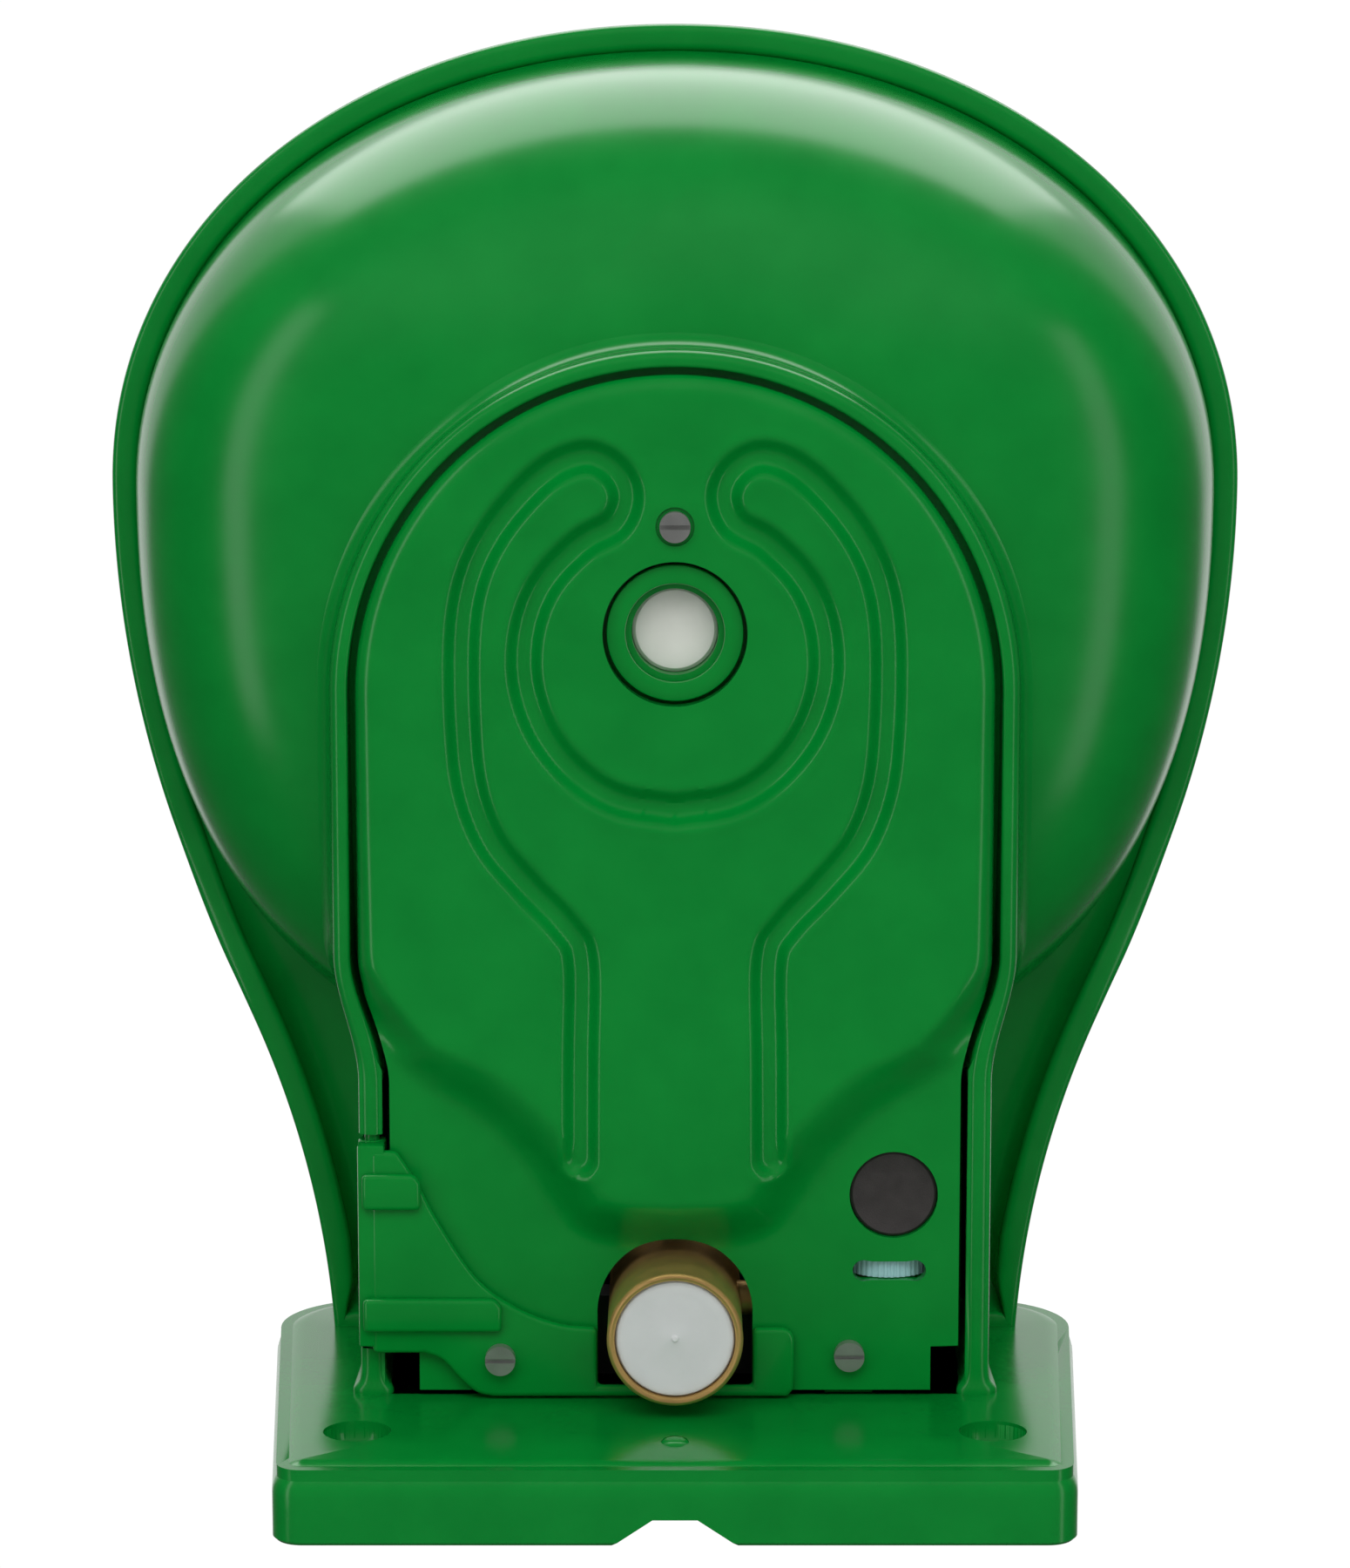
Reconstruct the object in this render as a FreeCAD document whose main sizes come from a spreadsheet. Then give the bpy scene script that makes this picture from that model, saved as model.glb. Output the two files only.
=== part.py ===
import FreeCAD, Part
import math
import os
import re

import Sketcher

# Wall-mounted drinking bowl for livestock, in millimetres.
# The origin is the centre of the wall plate's back face. +Z is up and the bowl reaches out
# along -Y. Left and right are -X and +X, as seen from in front of the bowl.

Vector = FreeCAD.Vector

SIZES = {
    # wall plate
    "plate_low_half": 89, "plate_high_half": 100, "plate_tall_half": 70, "plate_reach": 18,
    "plate_wall": 4, "rib_width": 5, "rib_across": 44, "rib_apart": 24,
    "bolt_side": 72, "bolt_low": -43, "bolt_radius": 4.25, "bolt_head_radius": 7.7,
    "bolt_head_deep": 6, "bolt_boss_radius": 11, "high_bolt_side": 31, "high_bolt_up": 50,
    "notch_half": 14, "notch_top_half": 5, "notch_deep": 6, "notch_tall": 20,
    "pip_radius": 3.3, "pip_low": -51, "pip_proud": 1.2,
    # bowl
    "bowl_reach": 224, "rim_half": 135.6, "rim_front": 109.5, "rim_top": 70, "rim_low": 52,
    "rim_band": 6.5, "side_arc": 262, "neck_reach": 107, "neck_arc": 235, "lip_low": 42,
    "deck_thick": 5, "slab_thick": 8,
    "dome_half": 127, "dome_front": 101, "dome_rear": 145, "dome_top": 64, "dome_low": -10,
    "dish_half": 122.5, "dish_front": 96.5, "dish_rear": 124, "dish_low": 2, "dish_floor": 7,
    "front_power": 2.05, "rear_power": 2.35, "side_power": 3.6,
    # skirt round the cover, hinge posts and the chamber above the cover
    "arch_reach": 182, "skirt_outer": 78.5, "skirt_inner": 74.5, "skirt_low": -15,
    "post_outer": 73.1, "post_inner": 67.5, "shoulder_reach": 111, "shoulder_end": 95,
    "chamber_top": 3, "valve_room_front": 92,
    "window_half": 36, "window_low": 27, "window_high": 62,
    # cover
    "cover_arch": 72.8, "cover_side_reach": 121, "cover_half": 66.2, "cover_thick": 3,
    "cover_edge": 65.5, "cover_step_edge": 59.3, "cover_step_reach": 30, "cover_back": 19.5,
    "flange_low": -16, "pan_slope": 1.8, "pan_nose_reach": 53, "pan_nose_half": 17,
    "cut_half": 18, "cut_reach": 52,
    "drain_hole": 16.4,
    # drain
    "drain_reach": 196.5, "sleeve_outer": 15.6, "sleeve_bore": 9.85, "sleeve_step": 11.2,
    "step_deep": 3, "plug_radius": 9.75, "plug_flange": 14, "plug_flange_thick": 2.5,
    "plug_low": -8, "plug_edge": 0.8, "seal_wire": 1,
    # screws and inserts
    "front_screw_reach": 220.8, "screw_side": 40.4, "screw_reach": 28, "shank_radius": 2,
    "head_radius": 3.5, "head_tall": 2.6, "slot_width": 1, "slot_deep": 1.1,
    "insert_radius": 3, "insert_long": 8, "insert_bore": 2.05, "boss_radius": 5.5,
    "boss_top": 12, "flap_screw_hole": 2.6,
    # flap over the pipe
    "hinge_side": 70, "hinge_level": -12, "knuckle_radius": 3.2, "peg_radius": 1.8,
    "flap_thick": 3, "flap_back": 18.6, "flap_front": 78, "knuckle_front": 78.5,
    "knuckle_back": 30.5, "post_gap_front": 80, "post_gap_back": 29, "post_gap_level": -4,
    # blanking plug and wheel slot
    "blank_side": 50.5, "blank_reach": 66, "blank_radius": 10, "blank_flange": 11.5,
    "wheel_side": 49.6, "wheel_reach": 48, "wheel_level": -4.8, "wheel_radius": 10,
    "wheel_wide": 4, "slot_half": 6, "slot_tall": 4.4, "slot_end": 2.5, "knurl_radius": 0.5,
    "needle_radius": 1.5, "running_gap": 0.05, "tube_reach": 38.5,
    "regulator_radius": 6.5, "regulator_bore": 3.2, "regulator_back": 33.3,
    # inlet
    "pipe_reach": 37, "pipe_outer": 15.5, "pipe_low": -35, "pipe_high": 22, "mouth_radius": 13.8,
    "mouth_deep": 3, "thread_radius": 12.1, "thread_deep": 17, "pipe_bore": 9, "stud_radius": 7,
    "stud_deep": 8, "cap_radius": 13.6, "cap_body": 11.9, "cap_wall": 1.6,
    "tube_radius": 4, "tube_bore": 2.8, "tube_bend": 12,
    # valve
    "valve_level": 40, "valve_outer": 13, "valve_front": 76, "valve_back": 24,
    "valve_room": 10, "outlet_room": 9, "seat_front": 60, "seat_back": 57, "seat_hole": 6,
    "seat_bore": 4, "seal_radius": 7.5, "seal_thick": 3, "stem_radius": 2.5, "stem_front": 82.5,
    "spring_radius": 5.2, "spring_wire": 0.6, "spring_pitch": 3,
    "cap_inner": 30, "hex_radius": 12,
    # tongue
    "pin_reach": 84, "pin_level": 58, "pin_radius": 2, "pin_half": 28.5, "ear_half": 21,
    "sheet": 2, "tongue_reach": 165, "tongue_drop": 30, "tongue_half": 24,
    "lug_inner": 22, "lug_outer": 26, "clip_radius": 4,
}

doc = FreeCAD.newDocument("drinking_bowl")
sheet = doc.addObject("Spreadsheet::Sheet", "Sizes")
for row, (alias, size) in enumerate(SIZES.items(), start=1):
    sheet.set(f"A{row}", alias.replace("_", " "))
    sheet.set(f"B{row}", str(size))
    sheet.setAlias(f"B{row}", alias)
doc.recompute()

nodes = []
FRONT_SEAT = "flange_low + 2.8"     # underside of the front insert's boss


# ---------------------------------------------------------------- expressions and placements

def linked(text):
    """Writes an expression over the sheet's aliases as one that any object can hold."""
    return re.sub(r"[a-z_]+", lambda m: "Sizes." + m[0] if m[0] in SIZES else m[0], str(text))


def amount(text):
    """The number that an expression over the sheet stands for now."""
    return float(sheet.evalExpression(linked(text)))


def place(item, x="0", y="0", z="0", lies="Z"):
    """Puts an object at a bound place. lies is the axis that its own Z axis follows."""
    turns = {"Z": (Vector(0, 0, 1), 0), "Y": (Vector(1, 0, 0), -90), "X": (Vector(0, 1, 0), 90)}
    item.Placement = FreeCAD.Placement(Vector(), FreeCAD.Rotation(*turns[lies]))
    for axis, text in zip("xyz", (x, y, z)):
        item.setExpression("Placement.Base." + axis, linked(text))
    return item


def node(item, label):
    """Names a finished piece, which is exported under that name."""
    item.Label = label
    nodes.append(item)
    return item


# ---------------------------------------------------------------- solids from sketches

def new_body(name):
    return doc.addObject("PartDesign::Body", name + "_form")


def new_sketch(body, role):
    sketch = body.newObject("Sketcher::SketchObject", body.Name + "_sketch")
    plane = next(item for item in body.Origin.OriginFeatures if item.Role == role)
    sketch.AttachmentSupport = [(plane, "")]
    sketch.MapMode = "FlatFace"
    return sketch


def fix(sketch, kind, *where, to):
    """Adds one dimension to a sketch and binds it to the sheet."""
    index = sketch.addConstraint(Sketcher.Constraint(kind, *where, amount(to)))
    sketch.setExpression(f"Constraints[{index}]", linked(to))


def outline(body, role, points):
    """A closed sketch of straight lines through points, each coordinate an expression."""
    sketch = new_sketch(body, role)
    places = [Vector(amount(x), amount(y), 0) for x, y in points]
    count = len(points)
    for index in range(count):
        sketch.addGeometry(Part.LineSegment(places[index], places[(index + 1) % count]), False)
    for index in range(count):
        sketch.addConstraint(
            Sketcher.Constraint("Coincident", index, 2, (index + 1) % count, 1))
    for index, (x, y) in enumerate(points):
        fix(sketch, "DistanceX", -1, 1, index, 1, to=x)
        fix(sketch, "DistanceY", -1, 1, index, 1, to=y)
    return sketch


def circles(body, role, rounds):
    """A sketch of circles, each given by its centre and radius."""
    sketch = new_sketch(body, role)
    for index, (x, y, radius) in enumerate(rounds):
        centre = Vector(amount(x), amount(y), 0)
        sketch.addGeometry(Part.Circle(centre, Vector(0, 0, 1), amount(radius)), False)
        fix(sketch, "DistanceX", -1, 1, index, 3, to=x)
        fix(sketch, "DistanceY", -1, 1, index, 3, to=y)
        fix(sketch, "Radius", index, to=radius)
    return sketch


def pad(body, sketch, length):
    """Extrudes a sketch to both sides of its plane, by half of length each way."""
    feature = body.newObject("PartDesign::Pad", body.Name + "_pad")
    feature.Profile = sketch
    feature.SideType = "Symmetric"
    feature.setExpression("Length", linked(length))
    return feature


def pocket(body, sketch):
    """Cuts a sketch right through the body, both ways from the sketch's plane."""
    feature = body.newObject("PartDesign::Pocket", body.Name + "_pocket")
    feature.Profile = sketch
    feature.Type = "ThroughAll"
    feature.SideType = "Symmetric"
    return feature


def around(body, feature, count, role="Z_Axis"):
    """Repeats a feature in a full circle round one of the body's own axes."""
    pattern = body.newObject("PartDesign::PolarPattern", body.Name + "_pattern")
    pattern.Originals = [feature]
    axis = next(item for item in body.Origin.OriginFeatures if item.Role == role)
    pattern.Axis = (axis, [""])
    pattern.Angle = 360
    pattern.Occurrences = count
    body.Tip = pattern
    return pattern


def turned(label, points, x="0", y="0", z="0", lies="Z"):
    """A round piece: a profile of (radius, height) points turned about the piece's axis."""
    body = new_body(label)
    sketch = outline(body, "XZ_Plane", points)
    feature = body.newObject("PartDesign::Revolution", body.Name + "_turn")
    feature.Profile = sketch
    feature.ReferenceAxis = (sketch, ["V_Axis"])
    feature.Angle = 360
    return place(body, x, y, z, lies)


def ring(label, outer, inner, low, high, **where):
    """A turned tube between two heights."""
    corners = [(inner, low), (outer, low), (outer, high), (inner, high)]
    return turned(label, corners, **where)


# ---------------------------------------------------------------- primitives and booleans

def box(name, low, high):
    """A block between two corners, whose coordinates are expressions."""
    item = doc.addObject("Part::Box", name)
    for side, start, end in zip(("Length", "Width", "Height"), low, high):
        item.setExpression(side, linked(f"({end}) - ({start})"))
    return place(item, *low)


def cylinder(name, radius, length, x="0", y="0", z="0", lies="Z"):
    item = doc.addObject("Part::Cylinder", name)
    item.setExpression("Radius", linked(radius))
    item.setExpression("Height", linked(length))
    return place(item, x, y, z, lies)


def fused(name, *shapes):
    item = doc.addObject("Part::MultiFuse", name)
    item.Shapes = list(shapes)
    return item


def cut(name, base, *tools):
    item = doc.addObject("Part::Cut", name)
    item.Base = base
    item.Tool = tools[0] if len(tools) == 1 else fused(name + "_tools", *tools)
    return item


# ---------------------------------------------------------------- bowl, skirt and wall plate

def egg(half, front, rear, z):
    """A closed plan curve about the bowl's widest line.

    It is a superellipse with its own length to the front and to the rear."""
    steps = 32
    points = []
    for step in range(steps):
        angle = 2 * math.pi * step / steps
        behind = step < steps / 2
        power = 2 / amount("rear_power" if behind else "front_power")
        reach = rear if behind else front
        across = math.copysign(abs(math.cos(angle)) ** power, math.cos(angle))
        along = math.copysign(abs(math.sin(angle)) ** power, math.sin(angle))
        points.append(Vector(half * across, reach * along - amount("bowl_reach"), z))
    curve = Part.BSplineCurve()
    curve.interpolate(points, PeriodicFlag=True)
    return Part.Wire(curve.toShape())


def lofted_bowl(half, front, rear, top, low, depths):
    """A bowl-shaped solid: egg curves that shrink with depth as a superellipse does."""
    power = amount("side_power")
    wires = []
    for depth in depths:
        shrink = (1 - depth ** power) ** (1 / power)
        level = top - depth * (top - low)
        wires.append(egg(half * shrink, front * shrink, rear * shrink, level))
    return Part.makeLoft(wires, True, False)


def pear(inset, low, high, back):
    """The rim's plan outline, inset all round and extruded between two levels.

    The front is a half ellipse. Each side leaves it as a convex arc and meets the wall plate
    as a concave arc, and the two arcs are tangent where the neck begins."""
    reach, neck = amount("bowl_reach"), amount("neck_reach")
    side, hollow = amount("side_arc"), amount("neck_arc")
    half, front = amount("rim_half") - inset, amount("rim_front") - inset
    turn = math.asin((reach - neck) / side)
    centre = Vector(amount("rim_half") - side, -reach, low)
    outward = Vector(math.cos(turn), math.sin(turn), 0)
    far = centre + outward * (side + hollow)
    end_turn = math.asin((far.y + back) / (hollow + inset))

    def on(middle, radius, angle):
        return middle + Vector(radius * math.cos(angle), radius * math.sin(angle), 0)

    convex = Part.Arc(on(centre, side - inset, 0), on(centre, side - inset, turn / 2),
                      on(centre, side - inset, turn)).toShape()
    wall_end = math.pi + end_turn
    neck_start = math.pi + turn
    concave = Part.Arc(on(far, hollow + inset, neck_start),
                       on(far, hollow + inset, (neck_start + wall_end) / 2),
                       on(far, hollow + inset, wall_end)).toShape()
    ellipse = Part.Ellipse(Vector(0, -reach, low), half, front)
    bow = Part.ArcOfEllipse(ellipse, math.pi, 2 * math.pi).toShape()
    mirror = Vector(1, 0, 0)
    left = [edge.mirror(Vector(), mirror) for edge in (convex, concave)]
    corner = on(far, hollow + inset, wall_end)
    back_edge = Part.LineSegment(corner, Vector(-corner.x, corner.y, corner.z)).toShape()
    edges = Part.sortEdges([bow, convex, concave, back_edge, *left])[0]
    return Part.Face(Part.Wire(edges)).extrude(Vector(0, 0, high - low))


def rim_lip(low, high):
    """The band that hangs from the rim's edge, from the plate right round the front."""
    band = pear(amount("rim_band"), low - 1, high + 1, 0)
    return pear(0, low, high, amount("plate_reach") - 4).cut(band)


def arch(radius, post_half, low, high, back):
    """The skirt's plan: a round arch whose sides step in to the hinge posts."""
    reach = amount("arch_reach")
    shoulder, end = amount("shoulder_reach"), amount("shoulder_end")
    top = Part.Arc(Vector(radius, -reach, low), Vector(0, -reach - radius, low),
                   Vector(-radius, -reach, low)).toShape()
    side = [Vector(-radius, -shoulder, low), Vector(-post_half, -end, low),
            Vector(-post_half, -back, low)]
    other = [Vector(-point.x, point.y, point.z) for point in reversed(side)]
    path = [Vector(-radius, -reach, low), *side, *other, Vector(radius, -reach, low)]
    face = Part.Face(Part.Wire([top, *Part.makePolygon(path).Edges]))
    return face.extrude(Vector(0, 0, high - low))


def block(low, high):
    """A plain block between two corners."""
    size = [end - start for start, end in zip(low, high)]
    return Part.makeBox(*size, Vector(*low))


def rod(radius, start, length, direction):
    """A plain cylinder from a point along a direction."""
    return Part.makeCylinder(radius, length, Vector(*start), Vector(*direction))


def plate_slab(inset, front, back):
    """The wall plate's outline, wider at the top, between two distances from the wall."""
    tall = amount("plate_tall_half") - inset
    low, high = amount("plate_low_half") - inset, amount("plate_high_half") - inset
    corners = [Vector(x, -front, z) for x, z in
               ((-low, -tall), (low, -tall), (high, tall), (-high, tall), (-low, -tall))]
    return Part.Face(Part.makePolygon(corners)).extrude(Vector(0, front - back, 0))


def wall_plate():
    """The hollow plate with its ribs, its four bolt bosses, the notch and the pip."""
    reach, wall, rib = amount("plate_reach"), amount("plate_wall"), amount("rib_width") / 2
    tall, across, apart = (amount(name) for name in ("plate_tall_half", "rib_across", "rib_apart"))
    hollow = plate_slab(wall, reach - wall, -1)
    ribs = [block((x - rib, -reach + 1, 1 - tall), (x + rib, 0, tall - 1))
            for x in (-across, 0, across)]
    ribs += [block((1 - amount("plate_low_half"), -reach + 1, step * apart - rib),
                   (amount("plate_low_half") - 1, 0, step * apart + rib)) for step in range(-2, 3)]
    plate = plate_slab(0, reach, 0).cut(hollow).fuse(ribs)
    for x, z, head in bolt_places():
        plate = plate.fuse(rod(amount("bolt_boss_radius"), (x, 1 - reach, z), reach - 1, (0, 1, 0)))
    for x, z, head in bolt_places():
        plate = plate.cut(rod(amount("bolt_radius"), (x, -reach - 1, z), reach + 2, (0, 1, 0)))
        plate = plate.cut(rod(amount("bolt_head_radius"), (x, -reach - 1, z), 1 + head, (0, 1, 0)))
    wide, narrow, deep = amount("notch_half"), amount("notch_top_half"), amount("notch_deep")
    corners = [Vector(x, y, -tall - 1) for x, y in
               ((-wide, 0), (-narrow, -deep), (narrow, -deep), (wide, 0), (-wide, 0))]
    notch = Part.Face(Part.makePolygon(corners)).extrude(Vector(0, 0, amount("notch_tall")))
    pip = rod(amount("pip_radius"), (0, -reach - amount("pip_proud"), amount("pip_low")),
              amount("pip_proud") + 1, (0, 1, 0))
    return plate.cut(notch).fuse(pip)


def bolt_places():
    """X, Z and head depth of each wall bolt."""
    sides = (-1, 1)
    low = [(side * amount("bolt_side"), amount("bolt_low"), amount("bolt_head_deep"))
           for side in sides]
    high = [(side * amount("high_bolt_side"), amount("high_bolt_up"), 0) for side in sides]
    return low + high


def bosses():
    """The bosses that hold the threaded inserts, the two rear ones webbed to the wall plate."""
    radius, top, thick = amount("boss_radius"), amount("boss_top"), amount("cover_thick")
    side, reach = amount("screw_side"), amount("screw_reach")
    low = amount("flange_low") + thick
    shape = rod(radius, (0, -amount("front_screw_reach"), amount(FRONT_SEAT)),
                amount("dish_floor") - 1 - amount(FRONT_SEAT), (0, 0, 1))
    for x in (-side, side):
        shape = shape.fuse(rod(radius, (x, -reach, low), top - low, (0, 0, 1)))
        shape = shape.fuse(block((x - radius, -reach, low), (x + radius, -amount("plate_reach"), top)))
    return shape


def insert_holes():
    """Blind holes for the inserts."""
    radius, long = amount("insert_radius"), amount("insert_long")
    shape = rod(radius, (0, -amount("front_screw_reach"), amount(FRONT_SEAT)), long, (0, 0, 1))
    low = amount("flange_low") + amount("cover_thick")
    for x in (-amount("screw_side"), amount("screw_side")):
        shape = shape.fuse(rod(radius, (x, -amount("screw_reach"), low), long, (0, 0, 1)))
    return shape


def lever_lugs():
    """Two lugs under the deck that carry the tongue's pin."""
    inner, outer, top = amount("lug_inner"), amount("lug_outer"), amount("rim_top") - 1
    reach, level = amount("pin_reach"), amount("pin_level")
    shape = [block((min(s * inner, s * outer), -reach - 6, level - 6),
                   (max(s * inner, s * outer), -reach + 6, top)) for s in (-1, 1)]
    pin = rod(amount("pin_radius"), (-outer - 1, -reach, level), 2 * outer + 2, (1, 0, 0))
    return shape[0].fuse(shape[1]).cut(pin)


def bowl_shape():
    """The whole green moulding: bowl, rim, neck, skirt, posts and wall plate."""
    reach, top = amount("plate_reach"), amount("rim_top")
    inside_wall = reach - 4
    dome = lofted_bowl(amount("dome_half"), amount("dome_front"), amount("dome_rear"),
                       amount("dome_top"), amount("dome_low"), (0, 0.3, 0.55, 0.75, 0.88, 0.96))
    slab_low = top - amount("slab_thick")
    slab = pear(0, slab_low, top, inside_wall)
    rim = rim_lip(amount("rim_low"), slab_low + 1)
    lip = rim_lip(amount("lip_low"), slab_low + 1).common(
        block((-200, -amount("neck_reach"), 0), (200, -inside_wall, 100)))
    skirt = arch(amount("skirt_outer"), amount("post_outer"), amount("skirt_low"),
                 amount("chamber_top") + 3, inside_wall)
    tower = arch(amount("skirt_outer"), amount("post_outer"), amount("chamber_top"),
                 amount("dome_top"), inside_wall).common(
        block((-200, -amount("shoulder_reach"), 0), (200, -inside_wall, 100)))
    chamber = arch(amount("skirt_inner"), amount("post_inner"), amount("skirt_low") - 1,
                   amount("chamber_top"), reach)
    post = amount("post_inner")
    valve_room = block((-post, -amount("valve_room_front"), amount("skirt_low")),
                       (post, -reach, top - amount("deck_thick")))
    dish = lofted_bowl(amount("dish_half"), amount("dish_front"), amount("dish_rear"),
                       top + 8, amount("dish_low"), (0, 0.1, 0.3, 0.55, 0.75, 0.88, 0.96))
    dish = dish.common(block((-200, -400, amount("dish_floor")), (200, 0, top + 20)))
    window = block((-amount("window_half"), -amount("valve_room_front") - 40, amount("window_low")),
                   (amount("window_half"), -amount("valve_room_front") + 1, amount("window_high")))
    shape = dome
    for piece in (slab, rim, lip, skirt, tower):
        shape = shape.fuse(piece)
    for room in (chamber, dish, valve_room, window):
        shape = shape.cut(room)
    for piece in (bosses(), lever_lugs(), wall_plate()):
        shape = shape.fuse(piece)
    return drained(hinge_gap(shape.cut(insert_holes())))


def drained(shape):
    """Adds the drain sleeve and cuts its bore, its lower step and the seat of the plug."""
    reach, low = amount("drain_reach"), amount("skirt_low") - 0.5
    floor = amount("dish_floor")
    shape = shape.fuse(rod(amount("sleeve_outer"), (0, -reach, low), floor - 2 - low, (0, 0, 1)))
    shape = shape.cut(rod(amount("sleeve_bore"), (0, -reach, low - 1), 40, (0, 0, 1)))
    shape = shape.cut(rod(amount("sleeve_step"), (0, -reach, low - 1), amount("step_deep") + 1, (0, 0, 1)))
    return shape


def hinge_gap(shape):
    """Cuts the left post back for the flap's hinge, and drills the post ends for its pegs."""
    side, level = amount("hinge_side"), amount("hinge_level")
    front, back = amount("post_gap_front"), amount("post_gap_back")
    room = block((-side - 9, -front, amount("skirt_low") - 1),
                 (-side + 3, -back, amount("post_gap_level")))
    peg = rod(amount("peg_radius") + amount("running_gap"), (-side, -front - 4, level),
              front - back + 8, (0, 1, 0))
    return shape.cut(room).cut(peg)


def made(name, shape):
    """Holds a sculpted shape as an object of the document."""
    item = doc.addObject("Part::Feature", name)
    item.Shape = shape
    return item


# ---------------------------------------------------------------- cover

def pan_shape(inset, lift):
    """The cover's raised pan: the arch above and a nose that runs in to the pipe below.

    Its lower face slopes down towards the wall. inset and lift shrink it for the hollow."""
    radius, reach = amount("cover_arch") - 2 - inset, amount("arch_reach")
    side, nose = amount("cover_side_reach"), amount("pan_nose_reach") + inset
    tip = amount("pan_nose_half") - inset
    half = amount("cover_half") - 2 - inset
    slope = math.radians(amount("pan_slope"))
    start = Part.Arc(Vector(radius, -reach, 0), Vector(0, -reach - radius, 0),
                     Vector(-radius, -reach, 0)).toShape()
    flank = Part.BSplineCurve()
    bend = [(-half, -side + 24), (-49 + inset / 2, -89 - inset), (-36, -74 - inset), (-tip, -nose)]
    flank.interpolate([Vector(x, y, 0) for x, y in bend])
    right = [Vector(-x, y, 0) for x, y in reversed(bend)]
    other = Part.BSplineCurve()
    other.interpolate(right)
    lines = [((-radius, -reach), (-radius, -side)), ((-radius, -side), bend[0]),
             ((-tip, -nose), (tip, -nose)), ((half, -side + 24), (radius, -side)),
             ((radius, -side), (radius, -reach))]
    edges = [Part.LineSegment(Vector(*a, 0), Vector(*b, 0)).toShape() for a, b in lines]
    edges += [start, flank.toShape(), other.toShape()]
    face = Part.Face(Part.Wire(Part.sortEdges(edges)[0]))
    face.translate(Vector(0, 0, -40))
    prism = face.extrude(Vector(0, 0, 40 + amount("flange_low") + lift))
    below = Part.makeBox(400, 400, 60, Vector(-200, 0, -60))
    below.rotate(Vector(), Vector(1, 0, 0), -math.degrees(slope))
    below.translate(Vector(0, -reach - radius, amount("flange_low") + lift))
    return prism.cut(below)


def cover_outline():
    """The cover's flange: an arch, straight sides, a step at each rear corner."""
    radius, reach = amount("cover_arch"), amount("arch_reach")
    back, step = amount("cover_back"), amount("cover_step_reach")
    side = [(radius, reach), (radius, amount("cover_side_reach")),
            (amount("cover_half"), amount("shoulder_end") + 1), (amount("cover_edge"), 92),
            (amount("cover_edge"), step), (amount("cover_step_edge"), step),
            (amount("cover_step_edge"), back)]
    right = [Vector(x, -y, amount("flange_low")) for x, y in side]
    left = [Vector(-point.x, point.y, point.z) for point in reversed(right)]
    top = Part.Arc(left[-1], Vector(0, -reach - radius, amount("flange_low")), right[0]).toShape()
    return Part.Face(Part.Wire([top, *Part.makePolygon(right + left).Edges]))


def cover_cuts():
    """The pipe's cut-out, the screw holes, the drain hole, the plug hole and the wheel slot."""
    up = (0, 0, 1)
    low, tall = -40, 60
    tools = [block((-amount("cut_half"), -amount("cut_reach") + 14, low),
                   (amount("cut_half"), 0, low + tall)),
             rod(amount("cut_half"), (0, -amount("cut_reach") + 14, low), tall, up),
             rod(amount("drain_hole"), (0, -amount("drain_reach"), low), tall, up),
             rod(amount("blank_radius"), (amount("blank_side"), -amount("blank_reach"), low),
                 tall, up)]
    side, reach = amount("screw_side"), amount("screw_reach")
    clearance = amount("shank_radius") + 0.3
    for radius, x, y in ((clearance, 0, -amount("front_screw_reach")), (clearance, side, -reach),
                         (amount("flap_screw_hole"), -side, -reach)):
        tools.append(rod(radius, (x, y, low), tall, up))
    middle, reach = amount("wheel_side"), amount("wheel_reach")
    long, tall_half = amount("slot_half"), amount("slot_tall") / 2
    tools.append(block((middle - long, -reach - tall_half, low), (middle + long, -reach + tall_half, 0)))
    for side in (-1, 1):
        tools.append(rod(amount("slot_end"), (middle + side * long, -reach, low), tall, up))
    return tools


def cover_shape():
    """The pressed-looking cover: a flange with a hollow sloping pan below it."""
    thick = amount("cover_thick")
    shape = cover_outline().extrude(Vector(0, 0, thick)).fuse(pan_shape(0, 0.5))
    shape = shape.cut(pan_shape(thick, thick + 0.5))
    pad_low = amount(FRONT_SEAT) - thick
    shape = shape.fuse(rod(amount("boss_radius"), (0, -amount("front_screw_reach"), pad_low), thick,
                           (0, 0, 1)))
    seat = rod(amount("head_radius") + 0.8, (0, -amount("front_screw_reach"), -40), 40 + pad_low,
               (0, 0, 1))
    for tool in [seat, *cover_cuts()]:
        shape = shape.cut(tool)
    return shape.removeSplitter()


# ---------------------------------------------------------------- small helpers for fixings

def screw(name, x, y, z, long):
    """A slotted cheese-head screw whose head's top face is at z, pointing down."""
    shank = cylinder(name + "_shank", "shank_radius", long, x, y, z)
    head = cylinder(name + "_head", "head_radius", "head_tall", x, y, f"{z} - head_tall")
    slot = box(name + "_slot", (f"{x} - head_radius", f"{y} - slot_width / 2", f"{z} - head_tall"),
               (f"{x} + head_radius", f"{y} + slot_width / 2", f"{z} - head_tall + slot_deep"))
    return cut(name + "_screw", fused(name + "_blank", shank, head), slot)


def tube(name, outer, inner, low, high, x, y):
    """An upright tube."""
    return cut(name, cylinder(name + "_rod", outer, f"({high}) - ({low})", x, y, low),
               cylinder(name + "_hole", inner, f"({high}) - ({low})", x, y, low))


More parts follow.
